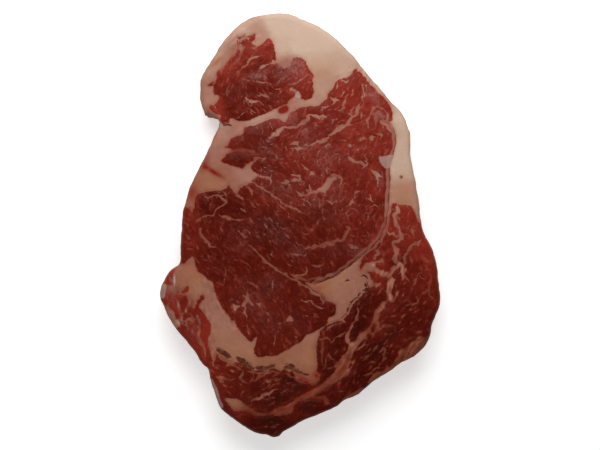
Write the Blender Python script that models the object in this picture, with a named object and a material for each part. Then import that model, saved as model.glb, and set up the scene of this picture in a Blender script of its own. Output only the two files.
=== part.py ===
"""Raw ribeye steak, lying on its flat lower cut face.

The steak is one solid: a slab sawn straight across the rib muscles. Its outline
is a smooth closed curve through hand-set points. The wall is a loft of that
outline at a few heights, drawn in at the upper and lower edges and a little
ragged on the way round. The upper face is a sheet of small triangles whose
height follows the meat: every muscle swells slightly, and the seams of fat
between the muscles lie in shallow grooves.

The origin is at the centre of the steak's box, on the surface it lies on.
+Y points along the steak to the thick fat cap, and +Z is up.
"""
import math

import bmesh
import bpy
import numpy as np
from mathutils import Vector, noise
from mathutils.geometry import delaunay_2d_cdt

MM = 0.001
STEAK = "ribeye_steak"
PARTS_COLLECTION = "raw_ribeye_steak"

# Driving dimensions of the whole steak, in metres.
WIDTH = 140.0 * MM
LENGTH = 211.0 * MM
THICKNESS = 22.0 * MM

# The outline, anticlockwise from the top of the fat cap, in millimetres.
FAT_CAP_TOP_LEFT = [(0, 102.8), (-8, 105.4), (-14, 105.3), (-22, 103.8), (-30, 100.2), (-35, 95.3),
                    (-40, 89.1), (-42.7, 84), (-46.7, 78), (-49, 73), (-49.3, 70), (-49.9, 64.2),
                    (-48.2, 58.2), (-46.8, 54.2)]
LEFT_NOTCH_AND_SIDE = [(-43.2, 54.6), (-40.0, 51.4), (-41.5, 46.6), (-43.9, 41.4), (-47.4, 34),
                       (-50.9, 27.3), (-54.4, 20), (-57.2, 10.7), (-58.6, 5.2), (-58.7, 0.5),
                       (-59.1, -7), (-59.5, -15), (-59.8, -19)]
LEFT_FLAP = [(-63.6, -21.4), (-68, -28), (-69.9, -34), (-67, -41.3), (-63, -49.6), (-56.4, -57.3),
             (-51.2, -64.4), (-48.5, -68.9), (-46.2, -70.6), (-44.6, -76.4), (-41.5, -86)]
LOWER_TIP = [(-38.8, -91.6), (-33.5, -95.7), (-28, -99.7), (-23, -102.5), (-16.3, -104.3),
             (-11.2, -105), (-8, -102), (-3.5, -99.7), (3.5, -95.9), (10.2, -93.4), (17.5, -90),
             (23, -86.3), (28.5, -83.8), (32.5, -80.2), (38, -76.2), (44.1, -72.8)]
RIGHT_SIDE = [(49.5, -68.3), (56, -65.1), (61, -60.5), (64.2, -56), (65.2, -50), (67.3, -44),
              (69.3, -40), (69.6, -36), (68.9, -30), (67.8, -22), (66.8, -16), (64.8, -10),
              (61.5, -4), (60, 1.5), (59.1, 10), (57.7, 18), (56, 27), (54.7, 35), (54.2, 47),
              (52.8, 51.3)]
FAT_CAP_TOP_RIGHT = [(49.5, 56.5), (44, 62.7), (37.5, 70.4), (31.5, 77.3), (25.1, 85.4),
                     (20, 90.4), (15, 95.1), (10.5, 98.2), (5, 100.6)]
OUTLINE_MM = (FAT_CAP_TOP_LEFT + LEFT_NOTCH_AND_SIDE + LEFT_FLAP + LOWER_TIP + RIGHT_SIDE
              + FAT_CAP_TOP_RIGHT)
OUTLINE_SMOOTHNESS = 6
OUTLINE_SPACING = 3.0 * MM

# The wall from the surface up to its waist, as (height, how far the wall is drawn in).
LOWER_WALL = [(0.0, 3.2 * MM), (0.7 * MM, 1.5 * MM), (2.6 * MM, 0.4 * MM), (6.5 * MM, 0.0),
              (10.5 * MM, 0.5 * MM)]
# The same below the upper cut, as (depth under the cut, how far the wall is drawn in).
UPPER_WALL = [(7.5 * MM, 0.0), (4.2 * MM, 0.4 * MM), (1.9 * MM, 1.6 * MM), (0.5 * MM, 3.6 * MM)]
RAGGED_PERIOD = 17.0 * MM
RAGGED_SHARE = 0.45
INSET_STEP = 0.5 * MM
INSET_EASE = 0.4

# The seams between the muscles, as (depth, half-width, path in millimetres).
SEAMS = [
    (0.9 * MM, 3.6 * MM, [(-41, 48.5), (-30, 50), (-21, 52), (-12, 56), (-5, 59), (3, 61), (9, 63),
                          (12, 69), (17, 75), (24, 79), (30, 80)]),
    (0.8 * MM, 3.2 * MM, [(43, 51), (47, 46), (47.5, 38), (45, 28), (44.6, 15), (43, 2),
                          (38.5, -8), (28.5, -17), (18, -25), (7.4, -29.3)]),
    (0.8 * MM, 3.2 * MM, [(-52, -18), (-45, -28), (-41, -38), (-32, -50), (-24, -60), (-14, -65),
                          (-3, -60), (7, -53.5), (15, -47)]),
    (0.9 * MM, 3.4 * MM, [(44, -37), (38, -45), (37, -51), (28, -59), (23, -68), (11, -80),
                          (0, -86), (-10, -92), (-24, -93), (-36, -88)]),
    (0.6 * MM, 2.8 * MM, [(-27, -9.6), (-18, -17), (-6, -26), (5, -32), (13, -38)]),
]
# The swell of each muscle, as (height, half-width, centre in millimetres).
SWELLS = [(0.8 * MM, 24 * MM, (-20, 72)), (1.0 * MM, 30 * MM, (12, 20)), (0.8 * MM, 22 * MM, (-25, -38)),
          (0.9 * MM, 18 * MM, (55, -35)), (0.7 * MM, 18 * MM, (30, -70)), (0.6 * MM, 14 * MM, (-30, -80)),
          (0.5 * MM, 14 * MM, (22, -36)), (0.6 * MM, 12 * MM, (10, 90))]
UNEVEN_HEIGHT = 0.45 * MM
UNEVEN_PERIOD = 26.0 * MM
FACE_SPACING = 3.7 * MM

MEAT_RED = (0.155, 0.019, 0.012, 1.0)
MEAT_ROUGHNESS = 0.42


def clear_scene():
    """Remove every object that the scene starts with."""
    for item in list(bpy.context.scene.objects):
        bpy.data.objects.remove(item, do_unlink=True)


def outline_ring():
    """Return the outline as a closed ring of points, fitted to the driving sizes."""
    curve = bpy.data.curves.new("steak_outline", "CURVE")
    curve.dimensions = "2D"
    curve.fill_mode = "NONE"
    curve.resolution_u = OUTLINE_SMOOTHNESS
    spline = curve.splines.new("BEZIER")
    spline.bezier_points.add(len(OUTLINE_MM) - 1)
    for knot, (x, y) in zip(spline.bezier_points, OUTLINE_MM):
        knot.co = (x * MM, y * MM, 0.0)
        knot.handle_left_type = "AUTO"
        knot.handle_right_type = "AUTO"
    spline.use_cyclic_u = True
    guide = bpy.data.objects.new("steak_outline", curve)
    bpy.context.scene.collection.objects.link(guide)
    evaluated = guide.evaluated_get(bpy.context.evaluated_depsgraph_get())
    drawn = bpy.data.meshes.new_from_object(evaluated)
    ring = np.array([corner.co.xy for corner in drawn.vertices])
    bpy.data.objects.remove(guide, do_unlink=True)
    bpy.data.meshes.remove(drawn)
    ring = evenly_spaced(ring)
    low, high = ring.min(axis=0), ring.max(axis=0)
    return (ring - (low + high) / 2) * np.array([WIDTH, LENGTH]) / (high - low)


def evenly_spaced(ring):
    """Return the closed ring with its points spread evenly along it."""
    closed = np.vstack((ring, ring[:1]))
    travelled = np.concatenate(([0.0], np.cumsum(np.linalg.norm(np.diff(closed, axis=0), axis=1))))
    count = round(travelled[-1] / OUTLINE_SPACING)
    stations = np.linspace(0.0, travelled[-1], count, endpoint=False)
    return np.column_stack([np.interp(stations, travelled, closed[:, axis]) for axis in (0, 1)])


def drawn_in(ring, distance):
    """Return the ring moved inwards, in small eased steps so that tight corners don't fold."""
    steps = math.ceil(distance.max() / INSET_STEP)
    for _ in range(steps):
        ahead = np.roll(ring, -1, axis=0)
        behind = np.roll(ring, 1, axis=0)
        along = ahead - behind
        inwards = np.column_stack((-along[:, 1], along[:, 0]))
        inwards /= np.linalg.norm(inwards, axis=1, keepdims=True)
        ring = ring + inwards * (distance / steps)[:, None]
        ring = ring * (1 - INSET_EASE) + (ahead + behind) * INSET_EASE / 2
    return ring


def distance_to_path(point, path):
    """Return how far the point is from an open path of straight runs."""
    nearest = math.inf
    for start, end in zip(path, path[1:]):
        run = (end - start)
        share = min(max((point - start).dot(run) / run.length_squared, 0.0), 1.0)
        nearest = min(nearest, (point - start - run * share).length)
    return nearest


def relief(x, y):
    """Return the height of the upper face over the level of its cut."""
    point = Vector((x, y))
    height = UNEVEN_HEIGHT * noise.noise(Vector((x, y, 0.0)) / UNEVEN_PERIOD)
    for swell, reach, centre in SWELLS:
        away = (point - Vector(centre) * MM).length
        height += swell * math.exp(-(away / reach) ** 2)
    for depth, reach, path in SEAMS:
        away = distance_to_path(point, [Vector(corner) * MM for corner in path])
        height -= depth * math.exp(-(away / reach) ** 2)
    return height


def ragged(ring, row):
    """Return, for each point of the ring, how strongly its edge is worn away in this row."""
    places = [Vector((x / RAGGED_PERIOD, y / RAGGED_PERIOD, row)) for x, y in ring]
    return np.array([1.0 + RAGGED_SHARE * noise.noise(place) for place in places])


def ring_vertices(solid, ring, heights):
    """Add one ring of vertices to the solid."""
    return [solid.verts.new((x, y, height)) for (x, y), height in zip(ring, heights)]


def build_wall(solid, outline, cut_level):
    """Loft the wall from the surface to the upper face, and return its lowest and highest rings."""
    rings = []
    for row, (height, inset) in enumerate(LOWER_WALL):
        ring = drawn_in(outline, inset * ragged(outline, row))
        rings.append(ring_vertices(solid, ring, [height] * len(ring)))
    for row, (depth, inset) in enumerate(UPPER_WALL, start=len(LOWER_WALL)):
        ring = drawn_in(outline, inset * ragged(outline, row))
        heights = [cut_level + relief(x, y) - depth for x, y in ring]
        rings.append(ring_vertices(solid, ring, heights))
    for lower, upper in zip(rings, rings[1:]):
        for index, corner in enumerate(lower):
            following = (index + 1) % len(lower)
            solid.faces.new((corner, lower[following], upper[following], upper[index]))
    return rings[0], rings[-1]


def build_upper_face(solid, rim, cut_level):
    """Fill the highest ring with small triangles whose corners follow the relief."""
    ring = [corner.co.xy for corner in rim]
    points = list(ring)
    row_height = FACE_SPACING * math.sqrt(3) / 2
    inside = [Vector(place) for place in drawn_in(np.array(ring), np.full(len(ring), FACE_SPACING * 0.6))]
    rows = math.ceil(LENGTH / row_height)
    columns = math.ceil(WIDTH / FACE_SPACING)
    for row in range(rows):
        for column in range(columns):
            x = (column + 0.5 * (row % 2)) * FACE_SPACING - WIDTH / 2
            y = row * row_height - LENGTH / 2
            if encloses(inside, x, y):
                points.append(Vector((x, y)))
    edges = [(index, (index + 1) % len(ring)) for index in range(len(ring))]
    places, _, triangles, origins, _, _ = delaunay_2d_cdt(points, edges, [], 1, 1e-7)
    corners = []
    for place, origin in zip(places, origins):
        if origin[0] < len(rim):
            corners.append(rim[origin[0]])
        else:
            corners.append(solid.verts.new((place.x, place.y, cut_level + relief(place.x, place.y))))
    for triangle in triangles:
        solid.faces.new([corners[index] for index in triangle])


def encloses(ring, x, y):
    """Tell whether the closed ring goes round the point."""
    within = False
    for start, end in zip(ring, ring[1:] + ring[:1]):
        if (start.y > y) != (end.y > y):
            crossing = start.x + (y - start.y) * (end.x - start.x) / (end.y - start.y)
            within = within != (crossing > x)
    return within


def steak_material():
    """Return the plain raw-meat finish."""
    material = bpy.data.materials.new("raw_meat")
    material.use_nodes = True
    surface = material.node_tree.nodes["Principled BSDF"]
    surface.inputs["Base Color"].default_value = MEAT_RED
    surface.inputs["Roughness"].default_value = MEAT_ROUGHNESS
    surface.inputs["Metallic"].default_value = 0.0
    return material


def build_steak(collection):
    """Build the steak as one closed solid in the collection."""
    outline = outline_ring()
    highest = max(relief(x, y) for x, y in np.mgrid[-60:61:4, -90:91:4].reshape(2, -1).T * MM)
    cut_level = THICKNESS - highest
    solid = bmesh.new()
    foot, rim = build_wall(solid, outline, cut_level)
    build_upper_face(solid, rim, cut_level)
    solid.faces.new(list(reversed(foot)))
    bmesh.ops.recalc_face_normals(solid, faces=solid.faces)
    mesh = bpy.data.meshes.new(STEAK)
    solid.to_mesh(mesh)
    solid.free()
    mesh.shade_smooth()
    mesh.materials.append(steak_material())
    collection.objects.link(bpy.data.objects.new(STEAK, mesh))


def main():
    """Model the steak in a collection of its own."""
    clear_scene()
    collection = bpy.data.collections.new(PARTS_COLLECTION)
    bpy.context.scene.collection.children.link(collection)
    build_steak(collection)


main()
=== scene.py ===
"""Looks of the raw ribeye steak: its ragged form, its muscles, fat, marbling and moist skin."""
import logging
import math
from dataclasses import dataclass, field
from enum import Enum, IntEnum
from typing import Any, Iterable, Sequence

import bmesh
import bpy
import numpy as np
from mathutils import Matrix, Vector
from mathutils.geometry import delaunay_2d_cdt


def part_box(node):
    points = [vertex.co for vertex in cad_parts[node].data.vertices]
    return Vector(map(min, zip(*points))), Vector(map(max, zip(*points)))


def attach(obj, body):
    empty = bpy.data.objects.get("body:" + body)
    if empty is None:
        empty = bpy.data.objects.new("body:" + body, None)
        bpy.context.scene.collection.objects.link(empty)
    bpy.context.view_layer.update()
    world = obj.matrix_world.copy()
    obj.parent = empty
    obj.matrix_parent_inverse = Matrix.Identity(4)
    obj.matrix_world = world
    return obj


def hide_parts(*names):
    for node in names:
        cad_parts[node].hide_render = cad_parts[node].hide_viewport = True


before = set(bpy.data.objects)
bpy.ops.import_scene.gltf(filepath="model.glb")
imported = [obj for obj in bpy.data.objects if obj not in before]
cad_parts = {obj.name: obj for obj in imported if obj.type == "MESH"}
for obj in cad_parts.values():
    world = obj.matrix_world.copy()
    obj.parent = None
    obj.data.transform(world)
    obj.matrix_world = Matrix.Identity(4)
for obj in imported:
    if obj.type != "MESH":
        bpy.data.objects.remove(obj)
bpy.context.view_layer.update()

log = logging.getLogger("ribeye")

MM = 0.001
STEAK_NODE = "ribeye_steak"

Point = tuple[float, float]
Spot = tuple[float, float, float]
Colour = tuple[float, float, float]
Stops = tuple[tuple[float, Colour], ...]
Array = np.ndarray


# Drawing lines on the cut face. Everything here is in millimetres.

def smooth_line(points: Sequence[float] | Array, closed: bool, pieces: int = 3) -> Array:
    """Draw a soft curve through points.

    Args:
        points: The points that the curve passes through, as x and y in turn or as rows.
        closed: Whether the curve returns to its first point.
        pieces: How many straight runs stand for the curve between two points.

    Returns:
        The curve's points, one row each, without the first point repeated.
    """
    knots = np.reshape(points, (-1, 2)).astype(float)
    final = knots[-1:]
    if closed:
        before, after, last = (np.roll(knots, shift, axis=0) for shift in (1, -1, -2))
    else:
        start = 2 * knots[0] - knots[1]
        end = 2 * knots[-1] - knots[-2]
        padded = np.vstack((start, knots, end))
        before, after, last = padded[:-3], padded[2:-1], padded[3:]
        knots = padded[1:-2]
    rows = [
        0.5 * (2 * knots + (after - before) * share
               + (2 * before - 5 * knots + 4 * after - last) * share ** 2
               + (3 * knots - before - 3 * after + last) * share ** 3)
        for share in np.arange(pieces) / pieces
    ]
    curve = np.stack(rows, axis=1).reshape(-1, 2)
    return curve if closed else np.vstack((curve, final))


class Seed(IntEnum):
    """Which of the many noise fields each unevenness uses."""

    SWELL = 1
    LUMP = 2
    BUMP = 3
    GRAIN = 6
    TEAR = 7
    ROUGH = 8
    UNDER = 9
    STRAND = 12
    DRIFT_X = 21
    DRIFT_Y = 22
    STRAY_X = 31
    STRAY_Y = 32
    RAGGED = 33


# Odd multipliers and shifts that scatter the numbers of neighbouring cells.
CELL_PRIMES = (73856093, 19349663, 83492791)
SEED_PRIME = 2654435
SCRAMBLES = ((13, 1274126177), (16, 668265263))
LARGEST = 0x7FFFFFFF
SEED_STEP = 37.0


def value_noise(places: Array, period: float, seed: Seed) -> Array:
    """Read smooth noise.

    Args:
        places: Places in the plane or in space, one row each.
        period: The distance between bumps, in the places' unit.
        seed: The noise field to use.

    Returns:
        The noise at each place, from -1 to 1.
    """
    scaled = places / period + SEED_STEP * (seed + 1)
    cell = np.floor(scaled).astype(np.int64)
    within = scaled - cell
    ease = within * within * (3 - 2 * within)
    total = np.zeros(len(places))
    axes = places.shape[1]
    primes = np.array(CELL_PRIMES[:axes])
    for corner in range(2 ** axes):
        offset = np.array([(corner >> axis) & 1 for axis in range(axes)])
        key = ((cell + offset) * primes).sum(axis=1) + seed * SEED_PRIME
        for shift, prime in SCRAMBLES:
            key = (key ^ (key >> shift)) * prime & LARGEST
        weight = np.prod(np.where(offset == 1, ease, 1 - ease), axis=1)
        total += weight * (key / LARGEST)
    return 2 * total - 1


@dataclass(frozen=True)
class Nearness:
    """How a set of places lies to an open line.

    The gap is the distance to the line, across is the distance to the side of its nearest
    run, signed by the side, and along is the share of its length at the nearest point.
    """

    gap: Array
    across: Array
    along: Array


def nearness(places: Array, line: Array) -> Nearness:
    """Measure places against an open line.

    Args:
        places: The places, one row each.
        line: The line's points, one row each.

    Returns:
        How the places lie to the line.
    """
    gap = np.full(len(places), np.inf)
    across = np.zeros(len(places))
    along = np.zeros(len(places))
    runs = np.diff(line, axis=0)
    lengths = np.linalg.norm(runs, axis=1)
    travelled = np.concatenate(([0.0], np.cumsum(lengths)))
    for start, run, length, before in zip(line, runs, lengths, travelled):
        if length == 0.0:
            continue
        away = places - start
        share = np.clip(away @ run / length ** 2, 0.0, 1.0)
        distance = np.linalg.norm(away - share[:, None] * run, axis=1)
        closer = distance < gap
        gap[closer] = distance[closer]
        side = (run[0] * away[:, 1] - run[1] * away[:, 0]) / length
        across[closer] = side[closer]
        along[closer] = (before + share[closer] * length) / travelled[-1]
    return Nearness(gap, across, along)


def depth_inside(places: Array, outline: Array) -> Array:
    """Measure places against a closed outline.

    Args:
        places: The places, one row each.
        outline: The outline's points, one row each.

    Returns:
        How deep each place lies inside the outline, negative outside it.
    """
    ends = np.roll(outline, -1, axis=0)
    gap = np.full(len(places), np.inf)
    inside = np.zeros(len(places), dtype=bool)
    for start, end in zip(outline, ends):
        run = end - start
        length_squared = float(run @ run)
        if length_squared == 0.0:
            continue
        away = places - start
        share = np.clip(away @ run / length_squared, 0.0, 1.0)
        gap = np.minimum(gap, np.linalg.norm(away - share[:, None] * run, axis=1))
        if start[1] != end[1]:
            straddles = (start[1] > places[:, 1]) != (end[1] > places[:, 1])
            crossing = start[0] + (places[:, 1] - start[1]) * run[0] / run[1]
            inside ^= straddles & (places[:, 0] < crossing)
    return np.where(inside, gap, -gap)


def near_box(places: Array, line: Array, margin: float) -> Array:
    """Return the indices of the places within a margin of the line's box."""
    low, high = line.min(axis=0) - margin, line.max(axis=0) + margin
    return np.nonzero(((places >= low) & (places <= high)).all(axis=1))[0]


# What the butcher's cut shows: patches, veins, seams and stains.

class Tissue(Enum):
    """What a patch of the cut face is made of."""

    FAT = "fat"
    LEAN = "lean"
    SKIN = "skin"
    BRUISE = "bruise"


@dataclass(frozen=True)
class Patch:
    """A closed area of one tissue: its outline's x and y in turn. Lean cuts away earlier fat."""

    tissue: Tissue
    outline: tuple[float, ...]


@dataclass(frozen=True)
class Vein:
    """A thread of fat: its widths at the start, middle and end, and its path's x and y in turn."""

    widths: tuple[float, float, float]
    path: tuple[float, ...]
    strength: float = 1.0


@dataclass(frozen=True)
class Stain:
    """A soft-edged spot: its centre, reach and strength, how far it is drawn out, and its turn."""

    x: float
    y: float
    reach: float
    strength: float
    stretch: float = 1.0
    turn: float = 0.0


class Stained(Enum):
    """What a set of stains changes."""

    # painted sheen: whitish haze standing in for the soft light's reflection on the wet lean
    HAZE = "haze"
    ORANGE = "orange"
    FLUSH = "flush"
    TAN = "tan"
    BROWN = "brown"
    # painted highlights: white wet glints and the bright line along the flap's ridge
    SHINE = "shine"
    FEATHER = "feather"


@dataclass(frozen=True)
class Mark:
    """A place on the cut face and the value chosen there."""

    x: float
    y: float
    value: float


def stains(*rows: tuple[float, ...]) -> tuple[Stain, ...]:
    """Return the stains that rows of their fields describe."""
    return tuple(Stain(*row) for row in rows)


def marks(*rows: Spot) -> tuple[Mark, ...]:
    """Return the marks that rows of their fields describe."""
    return tuple(Mark(*row) for row in rows)


PATCHES = (
    # fat cap, its seam and the left strip
    Patch(Tissue.FAT, (
        80, 120, -80, 120, -80, 10, -57.5, 8.8, -55.8, 8.3, -54.7, 7.2, -54, 5.9, -53.1, 8, -52.7, 11,
        -52.4, 14, -51.3, 15.2, -49.8, 15.8, -46.2, 16.7, -42.4, 17.2, -40, 17, -38, 17.9, -35.8, 19.5,
        -34.6, 18.3, -33.3, 16.5, -32, 15.5, -31, 16.2, -30, 18, -27.2, 19.8, -25.4, 20.8, -24.1, 21.7,
        -22.8, 23.2, -21, 24.4, -19, 25.2, -21.2, 25.6, -23, 26.9, -24.3, 28.4, -24.3, 30, -23.3, 32.2,
        -25.4, 31.1, -27.7, 29.4, -28.8, 28, -30.5, 28.7, -33, 29.4, -36.2, 30.4, -39.5, 32, -38.4, 33.5,
        -37.3, 35.2, -36.6, 36.8, -37.3, 38.2, -37.1, 39.1, -35.5, 40.6, -34.6, 43.2, -31.3, 44.3,
        -29, 45.3, -28, 46.5, -27.9, 48.7, -25, 49.6, -21, 50.4, -18.5, 51.5, -15.8, 52.7, -12.9, 53.6,
        -10.5, 53.3, -9.5, 52, -8, 51.4, -6.6, 52.2, -6.3, 54.2, -5, 55.9, -3, 57, 0, 58.7, 3, 59.3,
        8, 59.3, 9.5, 60, 11, 61.4, 13.4, 63, 13.9, 65.4, 15.1, 67, 16.5, 68.6, 17.3, 70, 18.4, 71.9,
        19.7, 72.7, 21, 72.5, 21.8, 73.3, 23.5, 73, 25.4, 74.7, 26.8, 75.6, 27, 76.8, 28.1, 77.6, 29.5, 77,
        30.9, 75.6, 33, 72.9, 34.5, 71.3, 36.6, 68.9, 38.3, 67.4, 40.1, 65.4, 42, 63.4, 44, 61.6,
        45.2, 58.9, 46.3, 56.8, 46.5, 54.4, 46, 52.3, 44.9, 51.2, 46.2, 49.4, 47.3, 46.8, 48, 44.2,
        47.8, 40, 47.3, 37, 46.6, 34.8, 45.4, 30.2, 45, 28, 45.2, 22, 45, 15, 44.7, 11, 46.6, 10.6,
        48.3, 11, 50.5, 10.2, 53, 10.1, 55.8, 9.2, 57.4, 6, 58.6, 2.6, 59.8, 1.2, 80, 1)),
    # upper left muscle
    Patch(Tissue.LEAN, (
        -22.5, 95.7, -24.5, 94.8, -27, 94.2, -31.4, 93.9, -31.6, 91.5, -31, 89, -32.3, 86.8, -33, 85.5,
        -35.5, 83.2, -37, 80.5, -39, 78.2, -41, 76.2, -42.1, 73.8, -42.8, 72, -46.5, 70.6, -45.7, 69.4,
        -43.3, 69.3, -43.4, 66.8, -42.6, 64.8, -41, 65.4, -40.7, 63.5, -42, 61, -42.4, 60.1, -41.4, 57.5,
        -40, 55, -40, 52.4, -39, 51.5, -35.7, 51.2, -35.2, 53, -33, 53.4, -31, 52.2, -28, 52, -25.5, 52.3,
        -22.5, 53.7, -19, 55.1, -16, 56.4, -13, 58, -10, 59.5, -6.8, 60.6, -5.3, 61.8, -3.9, 63.1,
        -2.4, 64.2, 0, 63, 2.6, 62.6, 5.1, 63.2, 6.3, 64.5, 6.9, 67, 6.3, 69, 6.7, 71, 6, 73, 7, 74.4,
        5.5, 76.5, 4.1, 78.7, 3.2, 80.5, 3.2, 82, 1.5, 83, 0, 83.8, -1.5, 83.8, -3.5, 83, -4.4, 80.8,
        -4.9, 78, -8, 77.5, -9.5, 77.8, -10.4, 79, -11.2, 80.4, -11.9, 82, -12, 84.6, -12.2, 86.4,
        -12.9, 89, -13.3, 91, -14.5, 92.5, -15.9, 93.3, -17.3, 92.4, -18.4, 91, -20, 89.7, -21.5, 89.5,
        -23.2, 90, -23.8, 91.2, -22.9, 92.5, -22, 93.8)),
    # scrap of lean by the notch
    Patch(Tissue.LEAN, (
        -45.3, 59.6, -44.2, 60.3, -42, 58.4, -40.2, 56.5, -40.9, 55, -42.9, 56.1, -45.3, 58.3)),
    # fat in the foot of the upper left muscle
    Patch(Tissue.FAT, (
        -5.6, 61, -4.9, 62.8, -3.2, 63.9, -2.2, 65.2, -1.6, 66.4, -0.6, 66, 0, 64.8, 0.4, 63.4, 2, 62.4)),
    # pale nub over the foot
    Patch(Tissue.FAT, (
        -5.2, 66.9, -5.3, 68.8, -3.9, 69.3, -2.9, 68.2, -1.4, 67.6, -0.6, 66.4, -1.4, 65, -2.9, 65.6,
        -4, 67)),
    # notch between the upper lobes
    Patch(Tissue.LEAN, (
        -11.4, 79.8, -9.8, 79.7, -7.6, 78.6, -5.9, 79.2, -4.6, 78.6, -4.8, 76.6, -11, 76.6)),
    # strip between the left lobes
    Patch(Tissue.FAT, (
        -38.5, 38.4, -35.5, 38.4, -33.5, 37.9, -31, 38.3, -28, 38.5, -26, 38.1, -24.3, 37.7, -22.6, 37.4,
        -22.3, 36.2, -24, 36.1, -25.5, 36.5, -27.2, 36.1, -29.5, 36.6, -32, 36.5, -34.5, 36.4, -36.3, 35.5,
        -38.4, 33.6)),
    # pale patch in the eye
    Patch(Tissue.FAT, (
        8.2, 17, 9, 18.4, 10.6, 19, 12, 20.6, 13, 22.2, 13.8, 23.7, 15.5, 23.8, 18, 24.2, 18.2, 22.8,
        17, 22, 16, 21.3, 15.2, 19.8, 14.2, 18, 13.2, 16.9, 13, 15.2, 12.2, 16.2, 10.2, 16.7)),
    # small triangle in the eye
    Patch(Tissue.FAT, (4, 24.5, 6, 24.8, 8.3, 24.8, 7.2, 25.9, 6.4, 27, 5.2, 26.6, 4.8, 25.6)),
    # star in the lower left muscle
    Patch(Tissue.FAT, (
        -26.6, -32.5, -25.8, -34, -25.4, -36.4, -24.4, -38, -23.2, -40.4, -24.2, -40.2, -25.6, -38.6,
        -26.6, -39.4, -28.4, -41.4, -29.3, -41, -28.8, -39, -27.4, -37.2, -28.8, -35.6, -28.6, -34.9,
        -27.2, -35.2, -26.9, -34)),
    # arrow left of the star
    Patch(Tissue.FAT, (
        -33.6, -39.5, -31.5, -40.1, -29.6, -40.3, -30.6, -41.2, -31.8, -42.2, -32.9, -43.2, -33.2, -41.4)),
    # arrow right of the star
    Patch(Tissue.FAT, (-21.7, -39, -20.6, -39.2, -19.5, -38.7, -19.7, -40.2, -20, -41.7, -20.9, -40.6)),
    # arrow below the star
    Patch(Tissue.FAT, (-7.2, -48.3, -6.2, -46.6, -5.3, -44.6, -4.2, -46, -3.2, -47.9, -5.2, -48.3)),
    # central wedge of fat
    Patch(Tissue.FAT, (
        2.6, -28.4, 6, -28.9, 8, -29, 12, -28.2, 14, -27.3, 17, -26, 18.3, -25.3, 20, -24.2, 22, -22.5,
        24, -20.7, 26, -19.2, 28, -17.7, 30, -16.2, 31, -15.4, 31.2, -17, 30.7, -19, 30, -21.2, 30.1, -22.6,
        31, -21.7, 31.6, -20.3, 32.6, -19.3, 34, -18.6, 36, -18.3, 38, -17.9, 39.8, -17.3, 40.8, -16.3,
        41.8, -17.2, 42.3, -18.1, 41, -18.9, 39.5, -19.2, 38.2, -19.6, 38.2, -20.7, 39, -21.6, 40, -22.2,
        41.8, -22.8, 43, -23.3, 44.6, -23, 45.3, -22, 46, -21, 47.5, -20.4, 48.5, -19.9, 49.2, -18.8,
        50.4, -18.4, 51.4, -19.4, 52.1, -20.5, 52, -22, 52.1, -24, 51, -26, 50.6, -24.4, 50.3, -22.4,
        48.6, -22, 47.4, -23, 46.5, -24.2, 46.3, -26, 47.1, -27.3, 47, -29, 46.9, -30.5, 46.3, -31.6,
        46.1, -33, 46.2, -34.3, 47, -34.6, 47.7, -33.8, 47.6, -32.3, 48, -30.8, 48.4, -30, 49, -30.4,
        49.2, -32, 49, -33.7, 48.3, -34.9, 47, -35.2, 46, -35.7, 45.4, -37.3, 44.4, -39, 43.3, -40.6,
        42.6, -41.3, 40, -40.6, 40.9, -38.7, 42.2, -37.3, 42.5, -36, 42.7, -34, 43, -32.5, 43.8, -31,
        44, -29, 44.4, -27.5, 44, -26.6, 42, -26.3, 41, -25.6, 40, -24.6, 38.8, -23.9, 37.5, -23.2,
        35.5, -23.6, 33.3, -23.6, 34.8, -24.3, 35.2, -25.6, 35.9, -26.8, 36.9, -28, 37.6, -28.8, 40, -28.9,
        40.7, -29.7, 40, -30.5, 38, -31.2, 36, -31.5, 34, -31.4, 33.1, -32.6, 32, -34, 30.7, -35.5,
        29.3, -37.3, 27.9, -38, 27, -39.3, 26.2, -41, 25.2, -42.6, 24.4, -44.5, 23, -46, 21.8, -46.8,
        22.3, -47.8, 23.2, -48.6, 22.5, -49, 21, -48.5, 19.5, -48.1, 17.5, -48.6, 15, -49.6, 13, -50.8,
        10.6, -52.4, 9, -53.4, 10.1, -51.6, 12.4, -50.4, 13.7, -49, 14, -47, 14.3, -46.4, 16.6, -45.6,
        17.6, -44.6, 18, -43.1, 17.9, -40.5, 17.3, -39.5, 16, -38.7, 14.2, -38.2, 13, -37.6, 12.3, -36.6,
        11.7, -35.4, 10.6, -34.9, 9, -34.1, 6, -32.9, 4.2, -31.2, 3, -30)),
    # lower left crescent of fat
    Patch(Tissue.FAT, (
        -59.6, -19.3, -57.6, -19.2, -56.9, -17.9, -55.1, -16.3, -53.5, -16, -52.5, -18.3, -52.1, -20.5,
        -50.9, -23.4, -49.3, -24.3, -48.2, -24.6, -46.4, -26.8, -45, -27.5, -43.5, -29, -42.9, -31,
        -42.2, -34, -41.6, -36.8, -40.3, -38.9, -38.9, -41, -36.6, -44, -34.4, -47, -32.1, -48.8,
        -31.8, -51, -30, -53, -28, -55.4, -26.1, -57.5, -24.5, -58.7, -23.3, -57, -21.7, -56.1, -22, -58.8,
        -22.6, -61, -22.9, -64.2, -21, -65.9, -19.2, -66.2, -16.9, -65.4, -13.9, -65.8, -10.9, -64.9,
        -7.8, -63.1, -4.7, -61.6, -3, -60.1, -0.2, -59, 1.6, -57, 3.2, -55.3, 5.2, -54.4, 7.8, -53.1,
        10.1, -51.8, 11.4, -51.6, 9.9, -53, 9.8, -54.3, 9.6, -57.3, 8.8, -60.4, 8.3, -63.5, 8.7, -68.3,
        8.5, -71.2, 8.6, -73.2, 9.8, -74.6, 10, -76.2, 10.2, -77.6, 9, -78.8, 8, -79.8, 6, -80.3,
        4.5, -79.6, 3, -78.5, 0.5, -78.2, -1, -77.2, -2.5, -76.3, -3.4, -74.3, -4, -73.5, -6, -73.4,
        -8, -72.6, -9.5, -73.5, -11.5, -72.6, -13, -72.4, -15, -72.2, -17.5, -73.4, -20.5, -73,
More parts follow.
